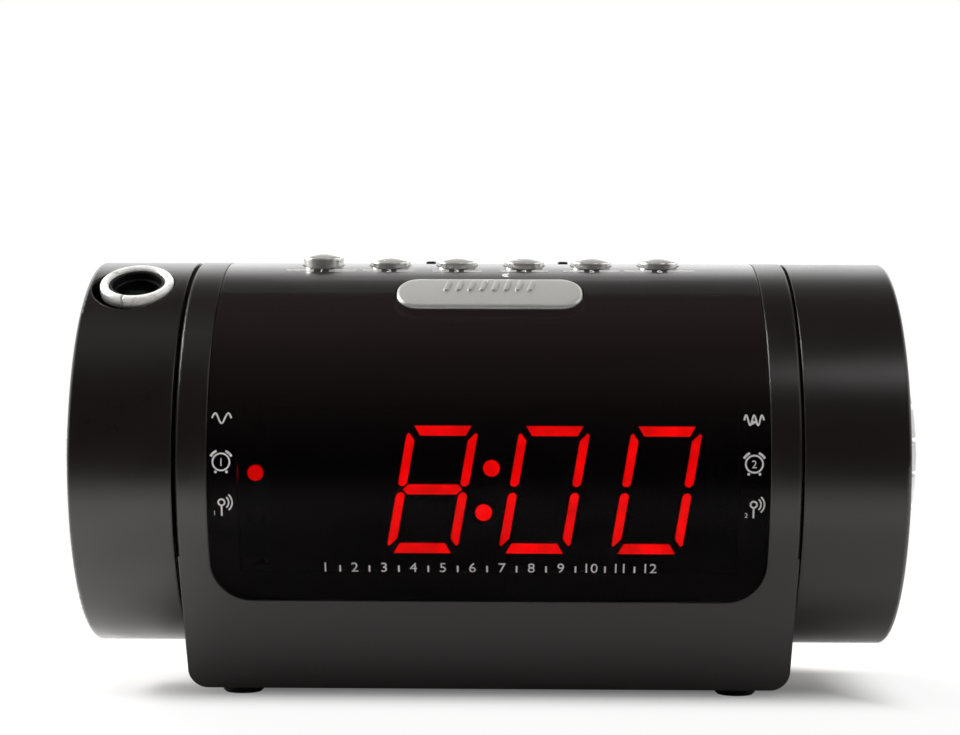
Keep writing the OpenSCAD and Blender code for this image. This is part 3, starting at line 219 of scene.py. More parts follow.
def arc(radius, start, stop, count=12, centre=(0, 0)):
    """Points along an arc between two angles."""
    return [(centre[0] + radius * math.cos(math.radians(start + (stop - start) * i / count)),
             centre[1] + radius * math.sin(math.radians(start + (stop - start) * i / count)))
            for i in range(count + 1)]


def circle(radius, centre=(0, 0), count=32):
    """Points round a circle, the first not repeated."""
    return arc(radius, 0, 360 - 360 / count, count - 1, centre)


def print_number(mesh, x, angle, text, height, v=0.0):
    """Adds a printed number, centred on its place."""
    curve = bpy.data.curves.new("number", "FONT")
    curve.body = text
    curve.size = height / 0.72
    curve.align_x = "CENTER"
    curve.extrude = (PRINT_RISE + PRINT_SUNK) / 2
    curve.resolution_u = 3
    stand_in = bpy.data.objects.new("number", curve)
    flat = bpy.data.meshes.new_from_object(stand_in)
    for vertex in flat.vertices:
        across, up, out = vertex.co
        vertex.co = on_barrel(x, angle, across, v + up - height / 2,
                              out + (PRINT_RISE - PRINT_SUNK) / 2)
    mesh.from_mesh(flat)
    bpy.data.objects.remove(stand_in)
    bpy.data.curves.remove(curve)
    bpy.data.meshes.remove(flat)


def make_piece(name, mesh, material, body, replaces=None):
    """Turns a bmesh into a named piece that rides on a body."""
    bmesh.ops.remove_doubles(mesh, verts=mesh.verts, dist=1e-7)
    bmesh.ops.recalc_face_normals(mesh, faces=mesh.faces)
    data = bpy.data.meshes.new(name)
    mesh.to_mesh(data)
    mesh.free()
    data.shade_smooth()
    data.set_sharp_from_angle(angle=math.radians(35))
    data.materials.append(material)
    piece = bpy.data.objects.new(name, data)
    bpy.context.scene.collection.objects.link(piece)
    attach(piece, body)
    if replaces:
        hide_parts(replaces)
    return piece


# Screen ink: matt, a little uneven where the mesh laid it thin.
screen_ink, ink_shader = surface("white_screen_ink", Base_Color=linear("#c9c6c5"),
                                 Roughness=0.55)
tint(screen_ink, ink_shader, cloud(screen_ink, 0.5 * MM), "#b4b1b0", "#d6d3d2")

panel_print = bmesh.new()
for key in range(KEY_COUNT):
    key_x = (key - (KEY_COUNT - 1) / 2) * KEY_PITCH
    half = LABEL_LENGTHS[key] * MM / 2
    print_number(panel_print, key_x, LABEL_A, str(key + 1), LABEL_H)
    for side in (-1, 1):
        for level in (-0.5, 0.5):
            print_loops(panel_print, key_x, LABEL_A, [stroke(
                [(side * RULE_FROM, level * RULE_GAP), (side * half, level * RULE_GAP)],
                RULE_W)])
moon = (arc(MOON_R, 60, 300, 20)
        + arc(MOON_HOLLOW_R, 230, 130, 12, (MOON_HOLLOW_OUT, 0)))
print_loops(panel_print, MOON_X, MOON_A, [moon])
make_piece("panel_print", panel_print, screen_ink, "cabinet")

# Display window.
# Smoked acrylic sheet, bent to the barrel, with a satin hard coat: almost black until a light
# behind it shines through. It clips in behind the housing's edge. The print is a plain number
# scale, and marks for the two wave bands, the two alarms and the two radio alarms.
SCALE_A = -32.4
SCALE_H = 2.7 * MM
SCALE_X0 = -38.6 * MM
SCALE_PITCH = 6.98 * MM
SCALE_COUNT = 12
MARK_UPS = (9.5, -0.7, -11.4)
MARK_XS = (-62.5, 62.1)
LINE_W = 0.42 * MM
WAVE_L = 4.6 * MM
WAVE_RISE = 1.2 * MM
CLOCK_R = 2.2 * MM
CLOCK_NUMBER_H = 1.9 * MM
BELL_R = 2.75 * MM
BELL_W = 0.55 * MM
CLOCK_FOOT = (1.3 * MM, -2.35 * MM)
CLOCK_FOOT_R = 0.34 * MM
MAST_FOOT = -2.1 * MM
MAST_HEAD = 1.2 * MM
MAST_RING_R = 0.95 * MM
RADIO_WAVES = (1.7 * MM, 2.5 * MM)
RADIO_WAVE_W = 0.36 * MM
RADIO_NUMBER_H = 1.2 * MM
RADIO_NUMBER_PLACE = (-1.7 * MM, -1.4 * MM)

smoked_acrylic, window_shader = surface("satin_smoked_acrylic", Base_Color=linear("#120c0d"),
                                        IOR=1.49, Roughness=0.26, Specular_IOR_Level=0.05,
                                        Alpha=0.72)
# Painted reflection: the window's colour runs lighter towards its top edge, standing in for
# the brighter reflection there.
height_up = add(smoked_acrylic, "SeparateXYZ", {
    "Vector": add(smoked_acrylic, "TexCoord").outputs["Object"]}).outputs["Z"]
painted_reflection_fade = add(smoked_acrylic, "MapRange", {"Value": height_up, "From Min": 55 * MM,
                                         "From Max": 100 * MM}, interpolation_type="SMOOTHSTEP")
tint(smoked_acrylic, window_shader, painted_reflection_fade.outputs["Result"], "#060405", "#251e1e", 0.0, 1.0)
spread(smoked_acrylic, window_shader, "Roughness", cloud(smoked_acrylic, 22 * MM, 1.0),
       0.22, 0.30)
relief(smoked_acrylic, window_shader, cloud(smoked_acrylic, 26 * MM, 1.0), 0.04, 0.2 * MM,
       0.4 * MM)
finish(smoked_acrylic, "display_window")

window_print = bmesh.new()
for i in range(SCALE_COUNT):
    number_x = SCALE_X0 + i * SCALE_PITCH
    print_number(window_print, number_x, SCALE_A, str(i + 1), SCALE_H)
    if i < SCALE_COUNT - 1:
        tick_x = number_x + SCALE_PITCH / 2
        print_loops(window_print, tick_x, SCALE_A, [stroke(
            [(0, -SCALE_H / 2), (0, SCALE_H / 6)], LINE_W)])
for side, mark_x in enumerate(MARK_XS):
    band, alarm, radio = (math.degrees(math.asin(up * MM / PANEL_R)) for up in MARK_UPS)
    mark_x *= MM
    # Wave band: a long wave on the left, a short one on the right.
    waves = 1.5 if side == 0 else 2.5
    wave = [((i / 48 - 0.5) * WAVE_L, WAVE_RISE * math.sin(2 * math.pi * waves * i / 48))
            for i in range(49)]
    print_loops(window_print, mark_x, band, [stroke(wave, LINE_W)])
    # Alarm: a small clock with two bells and two feet.
    print_loops(window_print, mark_x, alarm, [circle(CLOCK_R), circle(CLOCK_R - 0.4 * MM)])
    print_number(window_print, mark_x, alarm, str(side + 1), CLOCK_NUMBER_H)
    for mirror in (-1, 1):
        bell = [(mirror * u, v) for u, v in arc(BELL_R, 28, 68, 8)]
        print_loops(window_print, mark_x, alarm, [stroke(bell, BELL_W)])
        print_loops(window_print, mark_x, alarm, [circle(
            CLOCK_FOOT_R, (mirror * CLOCK_FOOT[0], CLOCK_FOOT[1]), 12)])
    # Radio alarm: a mast with waves on one side, and the alarm's number at its foot.
    print_loops(window_print, mark_x, radio, [stroke(
        [(0, MAST_FOOT), (0, MAST_HEAD - 0.8 * MM)], LINE_W)])
    print_loops(window_print, mark_x, radio, [
        circle(MAST_RING_R, (0, MAST_HEAD), 20),
        circle(MAST_RING_R - 0.4 * MM, (0, MAST_HEAD), 20)])
    for reach in RADIO_WAVES:
        print_loops(window_print, mark_x, radio, [stroke(
            arc(reach, -48, 48, 10, (0, MAST_HEAD)), RADIO_WAVE_W)])
    print_number(window_print, mark_x + RADIO_NUMBER_PLACE[0], radio, str(side + 1),
                 RADIO_NUMBER_H, RADIO_NUMBER_PLACE[1])
make_piece("window_print", window_print, screen_ink, "cabinet")

# LED display and indicator lights.
# A black reflector block whose cavities are cast full of red-tinted diffusing epoxy. A chip under
# each cavity lights the filling, which on the real display is a little weaker towards its ends; here
# its strength varies a little at random.
LIT_POWER = 10
LIGHT_FACE_Y = -36.2 * MM

reflector, reflector_shader = surface("black_reflector_face", Base_Color=linear("#090808"),
                                      IOR=1.5, Roughness=0.7)
tint(reflector, reflector_shader, cloud(reflector, 4 * MM), "#080707", "#0c0b0b")
finish(reflector, "led_display")

lit_epoxy, lit_shader = surface("lit_red_epoxy", Base_Color=linear("#5a0503"), IOR=1.5,
                                Roughness=0.5, Emission_Color=linear("#ff0404"),
                                Emission_Strength=LIT_POWER)
spread(lit_epoxy, lit_shader, "Emission Strength", cloud(lit_epoxy, 5 * MM, 2.0),
       0.75 * LIT_POWER, 1.2 * LIT_POWER)
finish(lit_epoxy, "lit_segments")

# The alarm's own lamp glows in its dome only, not down its sides.
lit_dome, dome_shader = surface("lit_red_dome", Base_Color=linear("#1c0403"), IOR=1.5,
                                Roughness=0.4, Emission_Color=linear("#ff0303"),
                                Emission_Strength=LIT_POWER)
depth = add(lit_dome, "SeparateXYZ", {
    "Vector": add(lit_dome, "TexCoord").outputs["Object"]}).outputs["Y"]
spread(lit_dome, dome_shader, "Emission Strength", depth, 0.7 * LIT_POWER, 0.0,
       LIGHT_FACE_Y + 1.0 * MM, LIGHT_FACE_Y + 2.0 * MM)
finish(lit_dome, "alarm_light")

dark_epoxy, dark_shader = surface("unlit_red_epoxy", Base_Color=linear("#120808"), IOR=1.5,
                                  Roughness=0.5)
tint(dark_epoxy, dark_shader, cloud(dark_epoxy, 3 * MM), "#100707", "#150a0a")
finish(dark_epoxy, "unlit_segments", "indicator_lights")

# Drums and their bearing.
# The two drum shells are ABS like the cabinet. What runs on what is acetal, which is slippery
# and has a slightly waxy look. The friction washer is pressed felt.
finish(black_abs, "projector_drum", "speaker_housing")

acetal, acetal_shader = surface("moulded_black_acetal", Base_Color=linear("#0f0f0f"), IOR=1.48,
                                Roughness=0.4)
tint(acetal, acetal_shader, cloud(acetal, 12 * MM), "#0d0d0d", "#121212")
relief(acetal, acetal_shader, cloud(acetal, 0.4 * MM), 0.08, 0.02 * MM)
finish(acetal, "drum_bearing_plate", "drum_hub", "drum_retainer", "projector_tube",
       "lens_barrel", "focus_ring")

felt, felt_shader = surface("pressed_grey_felt", Base_Color=linear("#2b2b2b"), Roughness=0.95,
                            Sheen_Weight=0.4, Sheen_Roughness=0.5)
tint(felt, felt_shader, cloud(felt, 0.6 * MM, 6.0, 0.8), "#1f1f1f", "#3a3a39")
relief(felt, felt_shader, cloud(felt, 0.25 * MM, 6.0, 0.8), 0.8, 0.15 * MM)
finish(felt, "friction_washer")

# Projector's optics.
# Two moulded acrylic lenses, a small liquid-crystal slide between them and a white LED on its
# board. The lenses are clear, so the dark barrel shows through.
clear_acrylic, lens_shader = surface("polished_clear_acrylic", Base_Color=linear("#0b0c0d"),
                                     IOR=1.49, Roughness=0.04, Alpha=0.35)
spread(clear_acrylic, lens_shader, "Roughness", cloud(clear_acrylic, 3 * MM), 0.03, 0.07)
finish(clear_acrylic, "projector_lens", "condenser_lens")

slide_glass, slide_shader = surface("slide_glass_with_polariser", Base_Color=linear("#1b2024"),
                                    IOR=1.52, Roughness=0.1)
tint(slide_glass, slide_shader, cloud(slide_glass, 1.5 * MM), "#161b1f", "#222a2e")
finish(slide_glass, "time_slide")

white_board, white_shader = surface("white_solder_resist", Base_Color=linear("#dedbd0"),
                                    IOR=1.5, Roughness=0.35)
tint(white_board, white_shader, cloud(white_board, 2 * MM), "#d2cec0", "#e6e3da")
finish(white_board, "projector_led")

# Focus ring's trim.
# A split half-round ring of ABS with satin silver paint, snapped over the black knurled grip.
# Fingers have dulled and darkened it in places.
silver_satin, satin_shader = surface("handled_satin_silver", Base_Color=linear("#dddbd7"),
                                     Metallic=0.2, Roughness=0.38)
tint(silver_satin, satin_shader, cloud(silver_satin, 2.2 * MM, 5.0, 0.7), "#c4c0bb", "#f4f2ef",
     0.3, 0.46)
spread(silver_satin, satin_shader, "Roughness", cloud(silver_satin, 1.2 * MM, 4.0), 0.3, 0.5)
relief(silver_satin, satin_shader, cloud(silver_satin, 0.3 * MM), 0.15, 0.02 * MM)
finish(silver_satin, "ring_trim")

# End discs.
# ABS discs, domed and slotted, with the silver paint of the keys under a clear lacquer. The
# paint's aluminium flakes give it a fine sparkle.
FLAKE = 0.22 * MM


def flake_paint(name, dark, light, rough, metal=0.6):
    """Metallic paint under lacquer, slightly grainy."""
    material, shader = surface(name, Base_Color=linear(light), Metallic=metal, Roughness=rough,
                               Coat_Weight=0.35, Coat_Roughness=0.15)
    tint(material, shader, cloud(material, FLAKE, 2.0), dark, light)
    relief(material, shader, cloud(material, FLAKE, 2.0), 0.10, 0.02 * MM, 0.25 * MM)
    return material


disc_paint = flake_paint("silver_disc_paint", "#bdbbb6", "#cfcdc9", 0.36)
finish(disc_paint, "drum_end_disc", "speaker_grille")

# Keys.
# Turned-looking caps moulded in ABS, each with a rounded rim and a domed top, painted silver.
# A skirt under the panel holds each in, and a stem stands on its switch.
KEY_A = 80
KEY_R = 5 * MM
KEY_RIM = 0.6 * MM
KEY_SLOPE = math.radians(24)
KEY_SKIRT_R = 5.9 * MM
KEY_SKIRT_S = 44.5 * MM
KEY_SKIRT_T = 1.2 * MM
KEY_STEM_R = 2 * MM
# Each key's node, its rise above the panel in millimetres, and where its stem ends.
KEYS = (("projection_button", 3.4, 44.05), ("alarm_1_button", 2.4, 43.95),
        ("alarm_2_button", 2.4, 43.95), ("minute_button", 2.4, 43.95),
        ("hour_button", 2.4, 43.95), ("time_button", 2.4, 43.95))
AROUND = 72

key_paint = flake_paint("silver_key_paint", "#e2e0da", "#efede8", 0.22, 0.7)


def facing(x, angle):
    """Puts +Z of a local shape along the barrel's radius at an angle."""
    turn = math.radians(angle)
    out = Vector((0, -math.cos(turn), math.sin(turn)))
    up = Vector((0, math.sin(turn), math.cos(turn)))
    across = Vector((1, 0, 0))
    matrix = Matrix((across, up, out)).transposed().to_4x4()
    matrix.translation = Vector((x, 0, AXIS_Z))
    return matrix


def loft(mesh, matrix, rings):
    """Joins rings of points into one closed skin. A ring of one point closes an end."""
    rows = [[mesh.verts.new(matrix @ Vector(point)) for point in ring] for ring in rings]
    for low, high in zip(rows, rows[1:]):
        count = max(len(low), len(high))
        for i in range(count):
            corners = [low[i % len(low)], low[(i + 1) % len(low)],
                       high[(i + 1) % len(high)], high[i % len(high)]]
            mesh.faces.new(list(dict.fromkeys(corners)))
    for row in (rows[0], rows[-1]):
        if len(row) > 1:
            mesh.faces.new(row)


def turned(profile):
    """Rings of a shape turned about its own axis, from radii and heights."""
    return [[(0, 0, height)] if radius == 0 else
            [(radius * math.cos(2 * math.pi * i / AROUND),
              radius * math.sin(2 * math.pi * i / AROUND), height) for i in range(AROUND)]
            for radius, height in profile]


for key, (node, rise, stem_s) in enumerate(KEYS):
    rim_end = KEY_R - KEY_RIM + KEY_RIM * math.sin(KEY_SLOPE)
    dome_r = rim_end / math.sin(KEY_SLOPE)
    top = PANEL_R + rise * MM
    rim_s = top - dome_r * (1 - math.cos(KEY_SLOPE)) - KEY_RIM * math.cos(KEY_SLOPE)
    profile = [(0, stem_s * MM), (KEY_STEM_R, stem_s * MM), (KEY_STEM_R, KEY_SKIRT_S),
               (KEY_SKIRT_R, KEY_SKIRT_S), (KEY_SKIRT_R, KEY_SKIRT_S + KEY_SKIRT_T),
               (KEY_R, KEY_SKIRT_S + KEY_SKIRT_T), (KEY_R, rim_s - 0.4 * MM)]
    for i in range(7):
        turn = (math.pi / 2 - KEY_SLOPE) * i / 6
        profile.append((KEY_R - KEY_RIM + KEY_RIM * math.cos(turn),
                        rim_s + KEY_RIM * math.sin(turn)))
    for i in range(1, 9):
        turn = KEY_SLOPE * (1 - i / 9)
        profile.append((dome_r * math.sin(turn), top - dome_r * (1 - math.cos(turn))))
    profile.append((0, top))
    cap = bmesh.new()
    loft(cap, facing((key - (KEY_COUNT - 1) / 2) * KEY_PITCH, KEY_A), turned(profile))
    make_piece(node + "_cap", cap, key_paint, node, node)

# Snooze bar.
# A long ABS cap painted like the keys, hollow below, with a soft rim all round and a row of
# raised slanting bars on top that a sleepy hand can feel.
BAR_A = 55.5
BAR_L = 45.4 * MM
BAR_W = 12.4 * MM
BAR_CORNER = 5.5 * MM
BAR_TOP = 48.9 * MM
BAR_EDGE = 1.2 * MM
BAR_SKIRT_S = 44.15 * MM
BAR_WALL = 2.2 * MM
BAR_LIP = 0.9 * MM
BAR_LIP_T = 1.2 * MM
BAR_CROWN = 0.12 * MM
BAR_INSETS = (1.9, 2.8, 3.8, 4.8, 5.8)
BAR_STEM_X = 12 * MM
BAR_STEM_S = 42.95 * MM
RIB_COUNT = 8
RIB_PITCH = 2.9 * MM
RIB_UP = 2.0 * MM
RIB_LEAN = 0.22
RIB_L = 4.4 * MM
RIB_W = 1.25 * MM
# The rib's section: how far it is drawn in, and how high it is there, in millimetres.
RIB_SECTION = ((0, -0.5), (0, 0.34), (0.06, 0.46), (0.16, 0.53), (0.36, 0.57))

bar_paint = flake_paint("silver_bar_paint", "#b7b5b1", "#c4c2bf", 0.33, 0.4)


def rounded(length, width, corner, inset, height, lean=0.0, centre=(0, 0)):
    """A ring round a rounded rectangle, drawn in by an inset."""
    half_l, half_w = length / 2 - inset, width / 2 - inset
    radius = max(corner - inset, 0.02 * MM)
    ring = []
    for turn, (side_u, side_v) in enumerate(((1, 1), (-1, 1), (-1, -1), (1, -1))):
        for i in range(9):
            angle = math.radians(90 * turn + 90 * i / 8)
            u = side_u * (half_l - radius) + radius * math.cos(angle)
            v = side_v * (half_w - radius) + radius * math.sin(angle)
            ring.append((centre[0] + u + lean * v, centre[1] + v, height))
    return ring


bar = bmesh.new()
bar_place = facing(0, BAR_A)
sections = [(BAR_WALL, BAR_TOP - BAR_WALL), (BAR_WALL, BAR_SKIRT_S), (-BAR_LIP, BAR_SKIRT_S),
            (-BAR_LIP, BAR_SKIRT_S + BAR_LIP_T), (0, BAR_SKIRT_S + BAR_LIP_T),
            (0, BAR_TOP - BAR_EDGE - BAR_CROWN)]
for i in range(1, 7):
    turn = math.pi / 2 * i / 6
    sections.append((BAR_EDGE * (1 - math.cos(turn)),
                     BAR_TOP - BAR_CROWN - BAR_EDGE * (1 - math.sin(turn))))
for inset in BAR_INSETS:
    sections.append((inset * MM, BAR_TOP - BAR_CROWN * (1 - (inset - 1.2) / 4.6) ** 2))
loft(bar, bar_place, [rounded(BAR_L, BAR_W, BAR_CORNER, inset, s) for inset, s in sections])
for side in (-1, 1):
    stem = turned([(0, BAR_STEM_S), (KEY_STEM_R, BAR_STEM_S),
                   (KEY_STEM_R, BAR_TOP - BAR_WALL + 0.5 * MM), (0, BAR_TOP - BAR_WALL + 0.5 * MM)])
    loft(bar, bar_place @ Matrix.Translation((side * BAR_STEM_X, 0, 0)), stem)
for i in range(RIB_COUNT):
    rib_x = (i - (RIB_COUNT - 1) / 2) * RIB_PITCH
    loft(bar, bar_place, [
        rounded(RIB_W, RIB_L, 0.6 * MM, inset * MM, BAR_TOP + s * MM, RIB_LEAN,
                (rib_x, RIB_UP))
        for inset, s in RIB_SECTION])
make_piece("snooze_bar_cap", bar, bar_paint, "snooze_bar", "snooze_bar")

# Locating pips.
# Two small pips moulded on the panel behind the third and the fifth key, so that a finger can
# find the keys in the dark.
PIP_A = 90
PIP_IN = 6.9 * MM
PIP_L = 2.6 * MM
PIP_W = 1.3 * MM
PIP_SECTION = ((0, -0.4), (0, 0.3), (0.1, 0.52), (0.3, 0.65), (0.5, 0.7))

for number, key in enumerate((2, 4)):
    pip = bmesh.new()
    place = facing((key - (KEY_COUNT - 1) / 2) * KEY_PITCH - PIP_IN, PIP_A)
    loft(pip, place, [rounded(PIP_L, PIP_W, 0.6 * MM, inset * MM, PANEL_R + s * MM)
                      for inset, s in PIP_SECTION])
    make_piece("locating_pip_%d" % (number + 1), pip, panel_abs, "cabinet")

# Loudspeaker.
# A pressed steel basket with a black paper cone, a ferrite magnet behind it and a black cloth
# over its front, clamped under the slotted disc.
THREAD = 0.5 * MM

cloth, cloth_shader = surface("black_speaker_cloth", Base_Color=linear("#0b0b0b"),
                              Roughness=0.95, Sheen_Weight=0.3, Sheen_Roughness=0.4)
weave = add(cloth, "Math", {
    0: add(cloth, "TexWave", {"Vector": add(cloth, "TexCoord").outputs["Object"],
                              "Scale": 1 / (THREAD * 6.28)}, bands_direction="Y").outputs["Fac"],
    1: add(cloth, "TexWave", {"Vector": add(cloth, "TexCoord").outputs["Object"],
                              "Scale": 1 / (THREAD * 6.28)}, bands_direction="Z").outputs["Fac"]},
    operation="MULTIPLY").outputs["Value"]
tint(cloth, cloth_shader, weave, "#070707", "#151515", 0.1, 0.7)
relief(cloth, cloth_shader, weave, 0.6, 0.1 * MM)
finish(cloth, "grille_cloth")

paper, paper_shader = surface("black_pulp_paper", Base_Color=linear("#1a1918"), Roughness=0.85)
tint(paper, paper_shader, cloud(paper, 0.8 * MM, 6.0, 0.75), "#141312", "#232120")
relief(paper, paper_shader, cloud(paper, 0.5 * MM, 6.0, 0.75), 0.5, 0.08 * MM)
finish(paper, "speaker_cone")

tinned, tinned_shader = surface("tinned_sheet_steel", Base_Color=linear("#a9a8a5"),
                                Metallic=1.0, Roughness=0.32)
tint(tinned, tinned_shader, cloud(tinned, 6 * MM, 5.0, 0.7), "#8f8e8b", "#b8b7b4")
spread(tinned, tinned_shader, "Roughness", cloud(tinned, 3 * MM, 4.0), 0.25, 0.42)
relief(tinned, tinned_shader, cloud(tinned, 0.5 * MM), 0.06, 0.02 * MM)
finish(tinned, "speaker_basket", "tuner_can", "battery_contacts")

ferrite, ferrite_shader = surface("sintered_ferrite", Base_Color=linear("#303034"), IOR=2.0,
                                  Roughness=0.5)
tint(ferrite, ferrite_shader, cloud(ferrite, 1.0 * MM, 5.0), "#2a2a2d", "#3a3a3f")
relief(ferrite, ferrite_shader, cloud(ferrite, 0.3 * MM, 5.0), 0.25, 0.05 * MM)
finish(ferrite, "speaker_magnet", "ferrite_rod")

# Circuit boards and what is soldered to them.
# Glass-fibre laminate under green solder resist, which looks lighter over the copper tracks.
# Switches and parts are moulded in black PBT and epoxy.
TRACK_PITCH = 1.9 * MM

solder_resist, resist_shader = surface("green_solder_resist", Base_Color=linear("#12542c"),
                                       IOR=1.52, Roughness=0.3)
tracks = add(solder_resist, "TexBrick", {
    "Vector": add(solder_resist, "TexCoord").outputs["Object"], "Scale": 1.0,
    "Mortar Size": 0.45 * MM, "Brick Width": 7.4 * MM, "Row Height": TRACK_PITCH,
    "Color1": linear("#0d4322"), "Color2": linear("#10502a"), "Mortar": linear("#1c7440")})
link(solder_resist, tracks.outputs["Color"], resist_shader, "Base Color")
relief(solder_resist, resist_shader, tracks.outputs["Fac"], 0.2, 0.05 * MM)
finish(solder_resist, "key_board", "snooze_board", "display_board", "main_board")

black_pbt, pbt_shader = surface("moulded_black_pbt", Base_Color=linear("#1a1a1c"), IOR=1.55,
                                Roughness=0.5)
tint(black_pbt, pbt_shader, cloud(black_pbt, 2 * MM), "#161618", "#202023")
relief(black_pbt, pbt_shader, cloud(black_pbt, 0.25 * MM), 0.15, 0.03 * MM)
finish(black_pbt, "tact_switches", "latch_switch", "board_parts")

# Mains transformer and aerial coil.
# Varnished silicon-steel laminations, half a millimetre each, with enamelled copper wire wound
# side by side. The aerial's coil is the same wire on the ferrite rod.
LAMINATION = 0.5 * MM
WIRE = 0.4 * MM

laminations, core_shader = surface("varnished_steel_laminations", Base_Color=linear("#4c4b50"),
                                   Metallic=0.7, Roughness=0.45)
sheets = add(laminations, "TexWave", {
    "Vector": add(laminations, "TexCoord").outputs["Object"],
    "Scale": 1 / (LAMINATION * 20), "Distortion": 0.3}, bands_direction="Y").outputs["Fac"]
tint(laminations, core_shader, sheets, "#39383c", "#5b5a5f", 0.2, 0.8)
relief(laminations, core_shader, sheets, 0.5, 0.05 * MM)
finish(laminations, "transformer_core")

enamelled, wire_shader = surface("enamelled_copper_wire", Base_Color=linear("#a3542a"),
                                 Metallic=0.9, Roughness=0.3, Coat_Weight=0.6)
turns = add(enamelled, "TexWave", {
    "Vector": add(enamelled, "TexCoord").outputs["Object"], "Scale": 1 / (WIRE * 20),
    "Distortion": 0.2}, bands_direction="X").outputs["Fac"]
tint(enamelled, wire_shader, turns, "#6f3216", "#b8683a", 0.2, 0.8)
relief(enamelled, wire_shader, turns, 0.8, 0.1 * MM)
finish(enamelled, "transformer_winding", "aerial_coil")

# Backup cells.
# Two stock steel cells, each in a shrunk sleeve of grey film that is bare of any print. They lie
# between sprung contacts above the battery door.
cell_sleeve, cell_shader = surface("grey_shrink_sleeve", Base_Color=linear("#8d8d8a"),
                                   IOR=1.5, Roughness=0.3)
tint(cell_sleeve, cell_shader, cloud(cell_sleeve, 8 * MM), "#82827f", "#9a9a97")
relief(cell_sleeve, cell_shader, cloud(cell_sleeve, 3 * MM, 2.0), 0.1, 0.05 * MM)
finish(cell_sleeve, "backup_cells")

# Feet, gland and grommet.
# Moulded black rubber: matt, with a little dust in its pores. The feet are pushed into the base,
# the gland into the rear wall where the mains cord comes out, and the grommet beside it.
rubber, rubber_shader = surface("moulded_black_rubber", Base_Color=linear("#0f0e0e"), IOR=1.52,
                                Roughness=0.75)
tint(rubber, rubber_shader, cloud(rubber, 1.5 * MM, 5.0), "#0c0b0b", "#181716")
relief(rubber, rubber_shader, cloud(rubber, 0.3 * MM, 5.0), 0.3, 0.05 * MM)
finish(rubber, "rubber_feet", "cord_gland", "aerial_grommet")

# Screws.
# Zinc-plated steel, with the faint yellow and blue cast of the plating. They hold the housings
# together, and the boards, the drum and the loudspeaker to them.
zinc, zinc_shader = surface("zinc_plated_steel", Base_Color=linear("#b3b1a9"), Metallic=1.0,
                            Roughness=0.3)
tint(zinc, zinc_shader, cloud(zinc, 2.5 * MM), "#a5a6a8", "#bdb9a8")
relief(zinc, zinc_shader, cloud(zinc, 0.3 * MM), 0.05, 0.02 * MM)
finish(zinc, "case_screws", "board_screws", "drum_screws", "speaker_screws")

# Studio.
# A glossy white table, with painted shade running it to black towards its front edge, a white
# backdrop behind and a dim room in front, so the barrel stays black where it faces the camera. Soft
# lamps stand at both sides, overhead and behind, a strip draws the left edges, and a low lamp lights
# the table under the left drum.
FOCAL_PX = 2083
IMAGE_W = 960
SENSOR = 36
CAMERA_PLACE = (6.0 * MM, -534.5 * MM, 80.9 * MM)
CAMERA_TURN = (math.radians(90), -0.0035, 0.01633)
# Where the table's painted shade runs from black to white, and where the partly painted shadow
# under the clock fades to plain white, in metres.
TABLE_PAINTED_DARK_Y = (-0.28, -0.13)
SHADOW_X = (0.082, 0.106)
SHADOW_REAR_Y = (0.02, 0.06)
SHADOW_FRONT_Y = (-0.006, -0.05)
SHADOW_REACH = (0.10, 0.22)
# How much of the plain white is mixed in under the clock, just beside it and far from it.
WHITE_UNDER = 0.1
WHITE_BESIDE = 0.8
WHITE_FAR = 0.1

bpy.ops.mesh.primitive_plane_add(size=12, location=(0, 0, 0))
floor = bpy.context.object
floor.name = "studio_floor"
table_paint, table_shader = surface("glossy_white_table", Base_Color=linear("#f0f0f0"),
                                    Roughness=0.12)
place = add(table_paint, "TexCoord").outputs["Object"]
sides = add(table_paint, "SeparateXYZ", {"Vector": place})


def smooth(value, start, stop, low=0.0, high=1.0):
    """Runs softly from low to high while a value runs from start to stop."""
    return add(table_paint, "MapRange", {
        "Value": value, "From Min": start, "From Max": stop, "To Min": low, "To Max": high},
        interpolation_type="SMOOTHSTEP").outputs["Result"]


def greater(one, other):
    """The greater of two values."""
    return add(table_paint, "Math", {0: one, 1: other}, operation="MAXIMUM").outputs["Value"]


# Painted shade: the table's colour runs to black towards its front edge, standing in for a dark
# room there, which keeps the barrel's middle black.
tint(table_paint, table_shader, smooth(sides.outputs["Y"], *TABLE_PAINTED_DARK_Y), "#000000", "#f4f1f0",
     0.0, 1.0)
# Partly painted shadow: seen directly, the table shows its lit shade only within a box under the
# clock and fades to plain white outside it, so the box's edges draw the shadow's outline.
across = add(table_paint, "Math", {0: sides.outputs["X"]}, operation="ABSOLUTE").outputs["Value"]
beside = greater(greater(smooth(across, *SHADOW_X), smooth(sides.outputs["Y"], *SHADOW_REAR_Y)),
                 smooth(sides.outputs["Y"], *SHADOW_FRONT_Y))
away = smooth(add(table_paint, "VectorMath", {0: place}, operation="LENGTH").outputs["Value"],
              *SHADOW_REACH, 0.0, WHITE_FAR)
fade = add(table_paint, "Math", {0: beside, 1: WHITE_BESIDE, 2: WHITE_UNDER},
           operation="MULTIPLY_ADD")
plain = add(table_paint, "Math", {0: fade.outputs["Value"], 1: away}, operation="ADD",
            use_clamp=True)
seen = add(table_paint, "MixShader", {
    "Fac": plain.outputs["Value"],
    1: add(table_paint, "BsdfDiffuse", {"Color": linear("#e4e2e0")}).outputs["BSDF"],
    2: add(table_paint, "Emission", {"Color": (1, 1, 1, 1), "Strength": 1.0}).outputs["Emission"]})
table_mix = add(table_paint, "MixShader", {
    "Fac": add(table_paint, "LightPath").outputs["Is Camera Ray"],
    1: table_shader.outputs["BSDF"], 2: seen.outputs["Shader"]})
output = next(n for n in table_paint.node_tree.nodes if n.bl_idname == "ShaderNodeOutputMaterial")
link(table_paint, table_mix.outputs["Shader"], output, "Surface")
floor.data.materials.append(table_paint)

